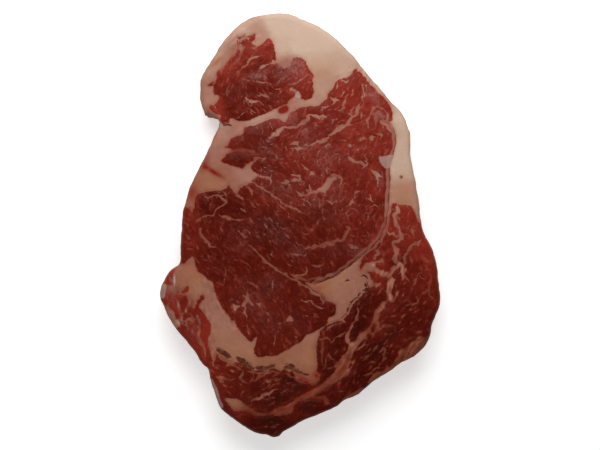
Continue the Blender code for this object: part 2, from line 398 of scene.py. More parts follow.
        -23.4, -72.5, -25.5, -71.8, -28, -70, -30.5, -69, -33, -68.5, -35.5, -67.5, -38, -66, -40.5, -65,
        -42.2, -64, -43.5, -65.5, -43.6, -67.8, -44.4, -66, -45, -63, -46.2, -61, -46.2, -57.5, -45, -53.5,
        -44.8, -51, -45.5, -48, -47, -45.6, -48.6, -43.2, -50.9, -42, -52, -41, -53.3, -42, -54.6, -41,
        -56, -41.5, -57.2, -43.5, -58.8, -46.5, -60, -46, -60.5, -43.5, -61.5, -41, -62.3, -38, -62.8, -34,
        -63.3, -29, -63.2, -24, -62.4, -21.3)),
    # edge fat of the left flap
    Patch(Tissue.FAT, (
        -66.6, -39.6, -64.6, -41.4, -63, -43.4, -62.4, -45.8, -61.6, -47.6, -60, -48.4, -59.6, -48.6,
        -60.4, -50, -61.4, -52.4, -66, -50, -70, -42)),
    # pale fold of the left flap
    Patch(Tissue.FAT, (
        -66.4, -29.4, -64.6, -30.4, -63.4, -29.6, -62.2, -30, -62.3, -34.6, -63.8, -34.8, -65.4, -33.8,
        -66.8, -35.6, -67.4, -33, -67, -30.8)),
    # upper tear in the crescent's head
    Patch(Tissue.LEAN, (
        -56, -30.8, -57.4, -31.1, -58.4, -32.5, -60, -33.3, -59.2, -34.2, -57.4, -34, -56, -33.2)),
    # deep tear in the crescent's head
    Patch(Tissue.LEAN, (
        -62.4, -35.2, -61, -34.3, -59.4, -34.7, -58, -35.3, -56.8, -35.8, -56.2, -37.4, -56.5, -39,
        -57.3, -40.6, -58.3, -43.4, -59.6, -42, -60.5, -39.5, -61.1, -37, -61.8, -36)),
    # red nick in the crescent
    Patch(Tissue.LEAN, (
        -49.2, -35.1, -48.3, -35.8, -48.2, -37, -49.6, -38.5, -50.8, -39.8, -51.2, -42, -52.4, -42,
        -51.8, -39.4, -50.6, -37.4, -49.8, -36.2)),
    # long lower seam
    Patch(Tissue.FAT, (
        44.2, -38.8, 43.2, -40.7, 42, -42, 40.8, -43.8, 39.6, -46.5, 39.6, -49, 40, -51, 41, -52,
        38.5, -53.8, 36.8, -54.8, 35.2, -54.6, 34, -55.5, 33.8, -57, 32, -57.2, 30.5, -59, 29, -61.3,
        27.8, -63.5, 26.5, -65.5, 25.7, -68, 24.5, -70.3, 23.8, -71.9, 25, -71.4, 26, -69.5, 27.3, -68,
        29, -67.9, 28.6, -69, 27, -70.5, 26, -72.5, 24.8, -74.5, 22.5, -76.2, 20.5, -77.6, 18, -78.7,
        15, -80.6, 12, -82.5, 9, -84.3, 8, -85.8, 10, -85.5, 12, -85.2, 13.2, -85.8, 14.2, -87.3, 14.8, -89,
        16, -89.9, 13, -89.8, 12, -88.6, 11.5, -87.4, 9, -87.2, 6, -87.1, 3, -87.4, 0, -87.9, -2, -89.6,
        -3.2, -91.4, -3.6, -93.2, -5, -94.5, -10, -95.6, -15, -95.4, -21, -95.9, -24, -94.8, -27, -93.8,
        -30, -93.5, -33, -92.9, -35.8, -89.9, -37.6, -88, -38, -87, -35.2, -86.4, -31.7, -86.9, -29, -88.3,
        -27, -90, -24.6, -91.2, -22, -93.2, -19.2, -94, -15, -93.3, -10, -90.9, -7.3, -90.2, -4.3, -88.4,
        -2, -86.9, 0.5, -85, 5, -82.8, 8.5, -81.3, 10.5, -79.8, 12.3, -78.3, 13.7, -76.4, 15.5, -74.9,
        17.5, -73.5, 18.5, -71.5, 17.3, -71.3, 17.8, -69.5, 19.5, -67.5, 21, -66, 22.8, -64, 24, -61.5,
        23.6, -59.5, 22.3, -56.5, 23, -54, 24.6, -52.3, 25.7, -50, 26.7, -50, 25.9, -52, 25, -54,
        24.6, -56.4, 25, -58, 26.3, -58.9, 27.6, -58.2, 28.8, -56.3, 30, -54.3, 31.5, -53.5, 33, -52.5,
        34.8, -51, 35.5, -49, 36.4, -46.5, 36.9, -44.2, 38.4, -41.5, 40.5, -39.2, 42.2, -37.5)),
    # island in the lower seam
    Patch(Tissue.LEAN, (36.3, -50.2, 38.2, -49.9, 38, -51.8, 36.8, -54.4, 35.9, -53.8, 35.8, -51.8)),
    # fat of the lower right edge
    Patch(Tissue.FAT, (
        66, -53.6, 63.9, -54.9, 60.3, -55.6, 57.8, -57.2, 53.7, -60, 50.6, -62.6, 48.6, -65.4, 46, -69,
        44, -71.6, 42.3, -73, 40, -73.8, 37.5, -74.5, 36, -75.8, 34.5, -77.8, 33.6, -80, 36, -84, 55, -80,
        76, -60)),
    # thin edge fat under the seam
    Patch(Tissue.FAT, (32, -81, 28, -83, 24.5, -85, 21, -87.4, 26, -88, 34, -84)),
    # silverskin right of the eye
    Patch(Tissue.SKIN, (
        39.4, 34.2, 41.2, 34.4, 43.6, 34.9, 46.4, 35.2, 46.5, 33, 46, 30.8, 45.3, 28.6, 43.6, 28,
        42.2, 28.6, 40.8, 30, 39.8, 31.8)),
    # silverskin of the left flap
    Patch(Tissue.SKIN, (
        -71, -33, -69.6, -30.6, -68.2, -29.4, -66.8, -29.8, -66.9, -31.5, -67, -33.5, -67.4, -35.4,
        -68.6, -37, -70.6, -36)),
    # silverskin over the foot
    Patch(Tissue.SKIN, (-2.6, 64.5, -2.2, 66, -1.2, 67.3, -0.3, 66.6, 0.4, 65, 0.6, 63.8, -0.8, 63.4)),
    # silverskin of the lower left edge
    Patch(Tissue.SKIN, (
        -44.2, -76.5, -43, -78.6, -41.4, -81.6, -40.5, -84.6, -39.6, -88, -38.2, -91, -41, -92, -44, -86,
        -46, -80)),
    # pale film by the notch
    Patch(Tissue.SKIN, (-42, 51.4, -39.6, 51, -38.4, 50.2, -39, 49, -42, 48.4)),
    # brown film by the notch
    Patch(Tissue.BRUISE, (-39.4, 51.9, -36.6, 51, -34.2, 50.2, -34.4, 49.4, -36.6, 49.7, -38.6, 49.4)),
    # first brown film of the crescent
    Patch(Tissue.BRUISE, (
        -42.2, -61, -39.6, -61.3, -37.4, -63, -35, -64.3, -34.2, -66, -35.6, -67, -38, -65.6,
        -40.8, -64.4)),
    # second brown film of the crescent
    Patch(Tissue.BRUISE, (
        -32.4, -65.8, -29.6, -66.4, -26.8, -68, -24.4, -69.6, -23.2, -72, -24.8, -72.9, -27.2, -71.4,
        -29.8, -69.4, -31.8, -67.8)),
    # third brown film of the crescent
    Patch(Tissue.BRUISE, (
        -22.6, -70.8, -19.6, -70.4, -16.5, -70.6, -14, -69.5, -11.4, -69.8, -12.4, -71, -15, -72, -18, -73,
        -21.4, -72.4)),
    # fourth brown film of the crescent
    Patch(Tissue.BRUISE, (
        -8.6, -71, -6.4, -70, -4, -70.2, -1.8, -71.4, 0.2, -73.2, 2.4, -74, 4.4, -75.2, 2.6, -75.4,
        0, -74.6, -2.6, -73.6, -5, -72.4, -7.4, -72.2)),
)

VEINS = (
    # the right side, beyond the eye
    Vein((1.2, 2.1, 1.6), (
        48.3, 10.5, 48.8, 8, 48.9, 6.4, 47.6, 5.1, 47.5, 3, 48.3, 0, 49.5, -2, 50.3, -4.5, 50, -6.5,
        48.3, -8, 46.7, -8.6, 46.3, -9.5, 47.2, -10.8, 48.3, -12.5, 48.7, -14.5, 47.6, -16, 47.3, -17.5,
        48.3, -18.8, 50, -19.7, 51.3, -20.2)),
    Vein((1, 1, 0.8), (43.5, -2.5, 44.5, -4.9, 46.5, -4.2, 47.3, -5.8, 48.5, -6.2, 49.3, -5), 0.9),
    Vein((0.9, 1.2, 1.5), (
        58.3, -8.3, 57, -9.5, 55.8, -10, 54.8, -12, 53.2, -14.5, 52.5, -17, 52.3, -19, 51.8, -20.5)),
    Vein((1, 1, 1), (57.3, -8.2, 58.6, -9.8, 59.3, -8, 60, -7.7), 0.9),
    Vein((1.6, 1.4, 0.6), (51.2, -21, 51.3, -23.5, 51.8, -25.5, 53, -26, 54.5, -28, 55, -28.6)),
    Vein((0.8, 0.8, 0.8), (57.2, -29, 57.9, -26.5, 59, -24.8, 60.2, -23.8, 61.5, -24.7), 0.8),
    Vein((1.5, 1.6, 1), (60.5, -26, 61.6, -26.7, 62.8, -27.2)),
    Vein((0.8, 0.8, 0.5), (56, -0.5, 56.2, -3, 56.8, -6.5), 0.5),
    Vein((0.7, 0.7, 0.5), (54.3, -5, 54.8, -6.8), 0.6),
    Vein((0.4, 0.5, 0.4), (57.3, -11, 57.2, -13.5), 0.6),
    Vein((0.6, 0.8, 0.6), (61, -14.5, 62, -16.5, 63.3, -17.5, 63.5, -21, 63, -23.5), 0.45),
    Vein((0.6, 0.7, 0.5), (64.6, -30.5, 64.9, -33, 64.6, -35, 65.8, -36.5, 67, -37.2), 0.6),
    Vein((0.5, 0.7, 0.5), (
        57.6, -35.8, 58.8, -37.3, 58.4, -38.8, 56, -39.7, 53, -40, 52, -41.2, 50.5, -42.5), 0.6),
    Vein((0.5, 0.6, 0.4), (51.8, -37.8, 53.8, -37), 0.6),
    Vein((1, 1.2, 0.8), (37.9, -11.8, 39.3, -14.3, 37.5, -15.5, 37.5, -17.2), 0.8),
    Vein((0.8, 1.3, 1.4), (28.7, -42.1, 29.4, -44, 28.4, -46.8, 26.3, -49.2, 25.5, -51.6), 0.9),
    Vein((1.4, 1.6, 1), (40, -52.4, 42, -50.6, 44.6, -50, 46.8, -50.6, 48.2, -53.2), 0.75),
    Vein((0.8, 0.7, 0.5), (40, -34, 41, -32, 42.8, -33.8), 0.5),
    # the lower muscles
    Vein((0.6, 0.9, 0.9), (23, -53.5, 20.5, -55.2, 17.5, -56.5, 16.8, -58, 15.9, -59), 0.8),
    Vein((0.8, 0.8, 0.6), (10.5, -57, 13, -56.5, 15.5, -58.5), 0.7),
    Vein((0.8, 0.8, 0.6), (13, -53, 15, -51, 18, -49.6), 0.7),
    Vein((0.8, 0.8, 0.6), (11.5, -53, 12, -56), 0.6),
    Vein((0.5, 0.5, 0.4), (15, -52.3, 15.8, -53.5), 0.7),
    Vein((0.6, 0.9, 0.6), (27.5, -63.3, 29.5, -62, 31.5, -60.5, 33.5, -59.5), 0.7),
    Vein((0.6, 1.4, 0.5), (39, -60, 37.8, -61.5, 36.4, -63.4), 0.55),
    Vein((0.6, 1.5, 0.5), (35.4, -64.4, 33, -65.8, 31.4, -67.6), 0.5),
    Vein((0.6, 0.6, 0.5), (
        12, -70, 13, -67.5, 14.3, -65.2, 15.2, -66, 16.3, -67, 17.2, -67, 17.2, -69), 0.7),
    Vein((0.5, 0.5, 0.5), (14, -72, 16.5, -71, 17.3, -70), 0.6),
    Vein((0.8, 1.2, 0.6), (35, -68.6, 36, -68.2, 37.2, -68.4), 0.85),
    Vein((0.6, 0.8, 0.6), (31.5, -75, 34, -74.5, 36.5, -72.8, 38.7, -71.3), 0.75),
    Vein((0.5, 0.5, 0.4), (38.5, -71.6, 42.5, -72), 0.7),
    Vein((0.9, 0.9, 0.7), (19, -83, 21.8, -83), 0.7),
    Vein((0.5, 0.5, 0.4), (28.8, -78, 28.5, -79), 0.7),
    Vein((0.6, 0.6, 0.5), (42.5, -61, 44.5, -60.5), 0.6),
    Vein((1.2, 0.8, 0.7), (
        -24.6, -90, -23.4, -87.6, -21, -86.9, -19.2, -86.5, -18.7, -85, -16.6, -84.6, -14.8, -84.2,
        -13.4, -82.9, -11.6, -82.2), 0.85),
    Vein((0.7, 0.8, 0.7), (-9.8, -83.8, -8.3, -83, -7.5, -82.4, -6.3, -82), 0.8),
    Vein((0.5, 0.5, 0.4), (-15.8, -85.5, -14.2, -87), 0.8),
    Vein((1, 1.5, 0.8), (-4.8, -83, -4, -82.7, -3.2, -83.3), 0.8),
    Vein((0.4, 0.5, 0.4), (-7.7, -79.8, -7.8, -81), 0.7),
    Vein((0.5, 0.5, 0.5), (-14.2, -89.3, -13, -90.3), 0.7),
    Vein((0.9, 1, 0.7), (-17, -77.8, -15.6, -78.4, -14.8, -79), 0.8),
    Vein((0.5, 0.6, 0.5), (-18.6, -79.6, -18, -79.8), 0.7),
    Vein((0.5, 0.6, 0.5), (-13.5, -79.9, -13, -79.7), 0.7),
    Vein((0.5, 0.6, 0.5), (-12, -78.1, -11.5, -77.8), 0.7),
    Vein((0.5, 0.6, 0.4), (-18.5, -92.3, -16, -91.8), 0.7),
    Vein((1.2, 1.7, 1.2), (7, -90.3, 8.2, -90.3), 0.8),
    Vein((0.5, 0.5, 0.4), (-15, -98.3, -13.5, -99), 0.6),
    Vein((0.5, 0.6, 0.4), (-12, -99.7, -10, -99.8), 0.6),
    Vein((1, 1.3, 1), (-17.6, -101, -16.4, -101), 0.7),
    # the lower left muscle and its tail
    Vein((0.9, 2, 1.2), (
        -51.8, -45.7, -50.9, -48.6, -50.6, -52, -50.8, -55.5, -49.8, -58.5, -48.2, -61, -47.5, -65.5), 0.8),
    Vein((0.8, 1.6, 0.6), (-54.4, -44.4, -53.8, -47.6, -55.2, -50), 0.35),
    Vein((0.6, 1.8, 0.6), (-65, -34.8, -63.4, -37.6, -62.2, -41), 0.5),
    Vein((0.7, 1.6, 0.7), (-60.4, -43, -59.6, -45.4, -60.4, -48), 0.6),
    Vein((0.6, 1.4, 0.6), (-60.4, -49.4, -58, -48.6, -56, -49.8), 0.5),
    Vein((0.8, 2, 0.8), (-62, -48.4, -60.2, -46.8, -59.4, -44.4), 0.7),
    Vein((0.6, 1.2, 0.6), (-58.8, -49.8, -56.6, -50.6, -55.4, -53), 0.45),
    Vein((1, 1.2, 0.8), (-44, -63, -43.5, -67.5), 0.9),
    Vein((0.8, 1, 0.6), (
        -28, -72.6, -28.8, -74.8, -30.4, -75.8, -29.6, -77, -27.6, -78.4, -26.1, -79.8), 0.6),
    Vein((1.2, 0.9, 0.6), (-40.5, -76, -38.6, -76.6, -35.6, -77.2, -32.6, -77), 0.5),
    Vein((0.8, 1.4, 0.8), (-43, -62.6, -42.4, -65.4, -43.2, -68.6, -42.6, -71), 0.6),
    Vein((0.8, 1.5, 0.8), (-40.6, -65.6, -38, -67.2, -34.6, -68.4, -32, -70), 0.55),
    Vein((0.6, 1.1, 0.6), (-37.4, -68.8, -34, -70, -31, -72.2, -28.4, -73), 0.4),
    Vein((0.6, 1.2, 0.6), (-26, -73.6, -21.4, -74.2, -16.4, -73.6, -11.6, -73.6), 0.4),
    Vein((0.6, 1, 0.6), (-18.6, -78.4, -15.2, -77.4, -11.4, -76.8), 0.35),
    Vein((0.6, 1.2, 0.7), (-6.6, -74.6, -3, -76.4, 0.4, -78.4, 4, -79.4), 0.5),
    Vein((0.5, 1.1, 0.6), (11.8, -57.4, 11, -61, 11.4, -65, 10.6, -69), 0.45),
    Vein((0.6, 1.2, 0.6), (52, -58.4, 55.6, -56.4, 60, -55.2), 0.4),
    Vein((0.6, 1.3, 0.6), (46.6, -61.2, 49, -60.6, 51.4, -61.4), 0.35),
    Vein((1, 1.2, 0.8), (-27.8, -40.6, -27.4, -43.4, -26.6, -46), 0.85),
    Vein((0.6, 0.6, 0.5), (-26.3, -49.5, -25.9, -52, -25.4, -54.7), 0.7),
    Vein((0.6, 0.7, 0.5), (-17.1, -43.5, -14.6, -46.2), 0.8),
    Vein((0.6, 0.9, 0.7), (-12.3, -55.4, -13, -60.5), 0.8),
    Vein((0.8, 0.9, 0.6), (-24.3, -43, -23.7, -43.2), 0.8),
    Vein((0.8, 0.9, 0.6), (-10.3, -49.2, -9.7, -49.3), 0.8),
    Vein((0.7, 0.8, 0.6), (-11.5, -53.3, -11.1, -53.4), 0.8),
    Vein((0.7, 0.9, 0.6), (-9.4, -38, -8.6, -38.2), 0.8),
    Vein((0.6, 0.9, 0.6), (1.1, -37.3, 2.9, -38.3, 5.5, -38.1, 7.5, -40.6, 10.3, -41.6, 12.3, -41.4), 0.85),
    Vein((0.9, 1.1, 0.7), (3, -45.4, 4, -45.6), 0.85),
    Vein((0.8, 1, 0.7), (8.4, -45.3, 9.5, -45.7), 0.85),
    Vein((0.8, 1, 0.7), (-2.5, -56, -1.5, -56.2), 0.8),
    Vein((1.8, 2.4, 1.4), (31.8, -45.2, 33.2, -45.8), 0.9),
    # the left lean
    Vein((0.5, 0.6, 0.9), (-48.4, 14.9, -46.4, 13.9, -43.6, 14.5, -41.6, 14.8, -39.6, 13.8), 0.65),
    Vein((0.9, 0.9, 1.2), (
        -40, 14, -38, 12.4, -37.4, 11, -38.6, 9.6, -41.2, 8.2, -42.4, 6.2, -44, 5, -46.6, 4.6,
        -49.2, 3.6), 0.95),
    Vein((1.5, 1.2, 0.7), (-49, 3.6, -50.8, 2.6, -52.8, 1.2), 0.95),
    Vein((1.2, 1, 0.6), (-40.2, 4.7, -37.9, 4.1, -35, 2.9, -31.3, 2.3, -28.8, 2.5), 0.85),
    Vein((1.7, 1.3, 0.9), (
        -49.6, -1.7, -49.8, -3.8, -47.8, -6.4, -46, -9.3, -45.3, -10.9, -43.3, -11.1), 0.9),
    Vein((0.7, 0.8, 0.5), (-40, -0.5, -38.5, -3.5), 0.8),
    Vein((0.8, 1.5, 0.7), (-57.6, 1.6, -56.4, 0.2, -56.2, -1.2), 0.5),
    Vein((0.8, 1.5, 0.6), (-57.4, -4.4, -55.8, -6, -55.2, -8), 0.5),
    Vein((0.6, 1.1, 0.6), (-57, -12.2, -54.8, -11.6, -53.6, -11.9), 0.6),
    Vein((0.6, 1, 0.6), (-51.6, -9.8, -50.8, -11, -50.4, -12.2), 0.6),
    Vein((0.8, 0.9, 0.7), (-31, -2.9, -29.5, -4.2, -28.3, -5.8, -25.9, -5.8), 0.85),
    Vein((0.8, 0.8, 0.6), (-25.2, 3.4, -23.9, 1.6), 0.8),
    Vein((0.8, 0.8, 0.6), (-15.5, 3.8, -14, 1.8), 0.8),
    Vein((0.7, 0.8, 0.5), (-17.5, 0, -16, -2.5), 0.8),
    Vein((0.8, 1, 0.6), (-7.6, -4.2, -5, -6.5), 0.85),
    Vein((0.6, 0.7, 0.5), (-9.8, 9.9, -7.6, 7.6), 0.8),
    Vein((0.9, 1.1, 0.7), (
        -23.8, 21.2, -20.5, 19.2, -17, 17, -13, 14.6, -9.9, 12.3, -7, 10, -5, 9.1, -2, 7.5, 1.2, 6.3,
        2.5, 6), 0.75),
    Vein((1, 0.9, 0.8), (-32, 15.4, -30, 13.8, -28.6, 12.8, -28.6, 11), 0.8),
    Vein((0.9, 1.4, 0.7), (-29.2, 9, -29, 7.6, -27.6, 6.4), 0.8),
    Vein((0.5, 0.6, 0.4), (-25.6, 11.8, -23.4, 9.8, -20.6, 8), 0.6),
    Vein((0.4, 0.5, 0.4), (-33.9, -17.1, -27.7, -18.3, -24.3, -21.8), 0.6),
    Vein((0.6, 0.9, 0.7), (-37.3, -21.6, -37, -24.3, -37.9, -27, -37.7, -29.6), 0.8),
    Vein((0.6, 0.8, 0.5), (-26.3, -28.3, -22.8, -30.1, -20.1, -32.8), 0.75),
    Vein((0.6, 0.8, 0.5), (-12.5, -26.7, -13.6, -28.5, -13.6, -32.3), 0.75),
    Vein((0.4, 0.5, 0.4), (-55, -15, -52, -16.7, -50.3, -19.2), 0.6),
    Vein((0.6, 0.7, 0.5), (-48, -17, -46.5, -17.5), 0.7),
    Vein((0.8, 1.2, 0.8), (-65.5, -25.5, -64.6, -27.5, -64, -29.5), 0.8),
    Vein((0.7, 1, 0.7), (-67, -35, -65, -37.5, -63, -38.5), 0.7),
    # the double seam at the eye's foot
    Vein((0.6, 1, 1), (
        -26.8, -9.6, -23.9, -11.3, -21.4, -13.7, -18.1, -17.1, -14.1, -20.3, -10, -23.4, -6, -25.9,
        -1, -28.3, 2.1, -30.3, 4.8, -32.3, 7.9, -33.9, 11, -34.8, 12.4, -36.8, 13.5, -37.9), 0.85),
    Vein((0.6, 0.9, 0.9), (-5, -24, 0, -26.5, 5, -28.3), 0.7),
    Vein((0.7, 1, 1), (4, -27.3, 6, -27, 10, -26.5, 14, -25.3, 18, -24.3), 0.6),
    Vein((0.8, 1.2, 1), (
        3.8, -32.2, 5.8, -33.6, 7.5, -34.4, 9.6, -34.8, 10.5, -36, 11, -37.5, 11.2, -39.2), 0.7),
    # the upper left muscle
    Vein((0.6, 1.2, 0.6), (-38, 79.5, -35, 83, -31.5, 86.5, -29.5, 91), 0.5),
    Vein((0.5, 0.9, 0.5), (-33, 80, -30, 84, -27.5, 90), 0.4),
    Vein((0.8, 0.9, 0.7), (-18.7, 85.4, -22, 83.7, -25.4, 82.3, -26.7, 80.1, -29.8, 77.9, -32, 75.4), 0.85),
    Vein((1.6, 1.1, 0.6), (-11.5, 81.8, -15, 80.8, -18.5, 79.3, -20.5, 78.2), 0.9),
    Vein((0.5, 0.6, 0.5), (-23.8, 72.3, -21.5, 71.3, -16.9, 71.4, -13.8, 69.7), 0.7),
    Vein((0.5, 0.5, 0.4), (-17.8, 75, -15.9, 73.2), 0.7),
    Vein((0.6, 0.8, 0.6), (-12.6, 68.2, -10.2, 68.2), 0.8),
    Vein((1.5, 1, 0.5), (-27.1, 63.3, -25.4, 61.9, -22.2, 62, -20, 61.1), 0.85),
    Vein((0.4, 0.5, 0.4), (-20, 64.8, -17.3, 64.8, -15.3, 62.7), 0.6),
    Vein((0.5, 0.6, 0.5), (-33, 70.8, -34.7, 68.5, -36.3, 65), 0.65),
    Vein((0.8, 1.1, 0.8), (-30, 90.4, -28.7, 87.7, -30.3, 85), 0.85),
    Vein((0.5, 0.5, 0.4), (-26.3, 58.8, -21.9, 56.3), 0.65),
    Vein((0.5, 0.9, 0.6), (-5, 69.8, -3, 71.2, -0.6, 71.6, 1, 73, 2.6, 74.2), 0.75),
    Vein((0.8, 1.5, 0.8), (-31.6, 93.6, -30, 92.2, -28.6, 93.4, -27.4, 92), 0.6),
    Vein((0.6, 1.2, 0.6), (-28, 95.4, -26.4, 94, -25.6, 92), 0.5),
    Vein((0.8, 1.6, 0.8), (-33, 87, -31.4, 88.4, -30.8, 91), 0.65),
    Vein((0.5, 1, 0.5), (-35.4, 69.6, -36.4, 67.4, -36.6, 65.2), 0.5),
    Vein((0.5, 1, 0.5), (-20.6, 66, -17.6, 64.8, -15.4, 62.6), 0.55),
    Vein((0.4, 0.7, 0.4), (-21.4, 62, -18.4, 60.6), 0.6),
    Vein((0.5, 0.9, 0.5), (-29.4, 73.6, -27, 72.4, -24, 72.2), 0.45),
    Vein((0.5, 0.9, 0.5), (-9.6, 73.4, -10.6, 71.2, -12.2, 70), 0.4),
    Vein((0.5, 1.2, 0.5), (-41, 76, -38, 79.6, -35, 83.6), 0.35),
    # the eye
    Vein((0.8, 1.5, 1.2), (
        31.6, 60.2, 29.8, 58.4, 28, 55.6, 26, 53.4, 23.8, 51.2, 20.4, 48.4, 17, 46.3, 14.2, 44.9), 0.95),
    Vein((0.8, 1.2, 1.4), (29.2, 60.6, 28.4, 58.6, 28, 56.4, 26.8, 54.6), 0.9),
    Vein((0.4, 0.6, 0.5), (27, 60, 26.2, 57.8, 25.6, 56), 0.7),
    Vein((0.8, 0.9, 0.6), (24.2, 55.6, 25.4, 54.8, 26.6, 54.2), 0.85),
    Vein((0.7, 0.8, 0.5), (22.6, 49.6, 24.6, 49.8, 26.4, 50.2), 0.85),
    Vein((2.4, 2, 0.9), (14, 43.6, 11.1, 42.2, 7.9, 41.1, 4.8, 40)),
    Vein((0.9, 1.5, 0.9), (
        13, 54, 11, 54.3, 9, 54, 6.4, 55, 4.6, 54.8, 3.6, 53, 1, 50.8, -1.6, 49.3, -4, 48.7,
        -8, 49.2), 0.95),
    Vein((0.9, 2.4, 1.2), (-7.6, 49.4, -9.6, 47.8, -12, 45.4, -14.6, 43.6), 0.9),
    Vein((1.2, 2.6, 1.6), (-4.6, 40.4, -2.6, 41, -0.6, 42), 0.9),
    Vein((0.5, 0.9, 0.5), (14.8, 50.6, 16, 51.4, 16.6, 52.4), 0.75),
    Vein((0.6, 0.9, 0.6), (19.4, 57.2, 20.8, 57.8, 22, 58.4), 0.8),
    Vein((0.5, 0.7, 0.5), (21.6, 60.4, 22.2, 61.8, 23, 63.4), 0.75),
    Vein((0.9, 1.7, 1.1), (-4.5, 38, -1, 38.4, 2.8, 38.2), 0.85),
    Vein((1.2, 1.2, 0.8), (23.8, 33.8, 27.1, 32, 30.3, 31.3, 32.7, 30, 34, 31), 0.9),
    Vein((1, 0.8, 0.5), (32.7, 30, 30.7, 27.9), 0.85),
    Vein((1, 2, 1.1), (30, 42.2, 31.8, 43.4, 33.4, 43)),
    Vein((1, 1.8, 1), (34.2, 43.4, 35.8, 43.6, 37.6, 44), 0.95),
    Vein((0.5, 1, 0.6), (38, 45.9, 39.8, 45.5, 41, 44.8, 40.3, 43.2), 0.8),
    Vein((0.6, 0.9, 0.8), (
        34, 49.6, 34.2, 50.8, 33.7, 52.2, 34.8, 53.8, 35.6, 56.4, 36.4, 58.4, 38.4, 58.9, 41, 58.2,
        43, 56.6, 43.8, 54.6, 43.2, 52.4), 0.7),
    Vein((1.3, 1.8, 1.2), (38, 50.4, 38.2, 53, 38.8, 55.2, 40.4, 55.6, 41.4, 54.4, 41.4, 52.6), 0.55),
    Vein((1.1, 1.9, 1), (36, 27, 38, 25.4, 41, 24.4)),
    Vein((0.5, 0.6, 0.5), (39.2, 24, 38.8, 19.5), 0.6),
    Vein((0.8, 0.9, 0.6), (33.8, 13.2, 36.5, 11.7), 0.8),
    Vein((0.6, 0.8, 0.6), (35.2, 12.6, 35.2, 15), 0.8),
    Vein((0.8, 1.2, 0.8), (30.7, 56.1, 30.7, 53.2), 0.85),
    Vein((0.6, 1.3, 0.6), (15.2, 63.9, 16.6, 62.6, 17.2, 61.6, 16, 60.3), 0.85),
    Vein((0.8, 0.9, 0.5), (17, 62, 18.4, 62.4, 19.8, 62.1), 0.8),
    Vein((0.8, 0.8, 0.5), (17, 62.4, 17.8, 63.8), 0.8),
    Vein((0.7, 0.9, 0.6), (10.6, 59, 12.2, 58.8, 14, 59.6), 0.75),
    Vein((0.6, 1, 0.5), (18.6, 71.2, 18.4, 69.6, 17.8, 68), 0.75),
    Vein((0.5, 0.8, 0.5), (22.6, 66.9, 21.6, 65.8, 21.2, 64.6), 0.75),
    Vein((0.5, 0.7, 0.5), (20, 72.6, 22, 72.2, 23.6, 71.2, 24.2, 72.6), 0.6),
    Vein((0.5, 0.7, 0.5), (30.8, 71.2, 32.1, 65.8, 31, 64, 31.9, 61.3), 0.75),
    Vein((0.6, 0.6, 0.5), (20, 42.2, 22.7, 42.5), 0.7),
    Vein((0.5, 0.6, 0.6), (0.4, 30.8, 3, 28.8, 5.2, 26.8), 0.75),
    Vein((0.8, 1, 1.4), (4.8, 19.6, 5, 17.6, 5.8, 16.2, 8.4, 16.8), 0.9),
    Vein((1, 0.8, 1), (6, 16, 4, 15.2, 1.6, 14.6, -0.4, 15.4, -2, 17), 0.8),
    Vein((0.6, 0.8, 0.5), (0, 13.4, 2.2, 12.6, 3.8, 11.8), 0.7),
    Vein((1.4, 1.4, 0.9), (14.5, 24, 18, 24.8, 20.2, 23.6, 20.2, 21.4, 19.4, 19.8), 0.8),
    Vein((0.5, 0.8, 0.5), (27, 15, 28.2, 16.4, 29.8, 16.8), 0.6),
    Vein((0.4, 0.5, 0.4), (-12.9, 34.9, -10.7, 32.4), 0.6),
    Vein((1.2, 1.5, 1.1), (-8.7, 20.8, -7, 21.6, -5, 21.8), 0.85),
    Vein((1, 1, 1.7), (-4.8, 24.9, -2, 25, -0.2, 24, 0.2, 22.8, -3.4, 22.4), 0.85),
    Vein((0.6, 1.4, 0.7), (25.8, 13.4, 26, 11.8, 24.8, 10.4, 22.6, 9.4), 0.9),
    Vein((1.3, 1, 0.5), (25.8, 12, 26.8, 11.4, 27.8, 10.8), 0.85),
    Vein((0.4, 0.6, 0.4), (25.6, 8.6, 27.6, 7.8, 28.9, 6.3), 0.75),
    Vein((0.7, 0.8, 0.6), (13.3, 12.5, 16.4, 10.5), 0.75),
    Vein((0.8, 2, 0.9), (
        23.3, -0.4, 24.5, -1.5, 23.1, -4.2, 21.3, -7.1, 18.2, -7.8, 15.1, -9.3, 12, -10.4, 8.4, -10.4,
        5.5, -11.6, 2.4, -11.8), 0.9),
    Vein((0.7, 0.9, 0.7), (-5, -14.2, -1.9, -14.9, 1.7, -15.1, 2.8, -14), 0.8),
    Vein((0.6, 0.7, 0.5), (5.3, -20, 7.9, -20.7, 11.3, -19.8), 0.75),
    Vein((0.6, 0.9, 0.6), (3, -20.7, 3.3, -23.4, 0.4, -25.2, -2.8, -24.5), 0.8),
    Vein((0.7, 0.8, 0.5), (6.4, -14.5, 7.1, -14.8), 0.7),
    Vein((0.7, 0.8, 0.5), (11.2, -16.3, 12, -16.6), 0.7),
    Vein((1, 1.4, 1), (24.2, -9.3, 26.3, -10.7, 28.9, -11.8), 0.85),
    Vein((0.8, 0.8, 0.6), (11.5, 4.5, 12.6, 3.2), 0.75),
    Vein((0.6, 0.6, 0.5), (10, 2.5, 8, 0), 0.7),
    Vein((0.6, 0.8, 0.6), (4.2, -0.6, 5.5, -2.2, 6.8, -1.3), 0.75),
    Vein((0.6, 0.7, 0.5), (0.6, -2.9, 2.4, -4.6, 4.2, -4), 0.7),
    Vein((0.6, 0.6, 0.5), (14, -2, 15.5, -3.5), 0.7),
    Vein((0.6, 0.8, 0.6), (33.4, -3.1, 34.3, -5.8), 0.75),
    Vein((0.9, 1, 0.7), (25.5, -5, 27, -6), 0.75),
    Vein((0.5, 0.6, 0.5), (26, -2, 29.5, -2.5), 0.6),
    # paler streaks inside the lower seam
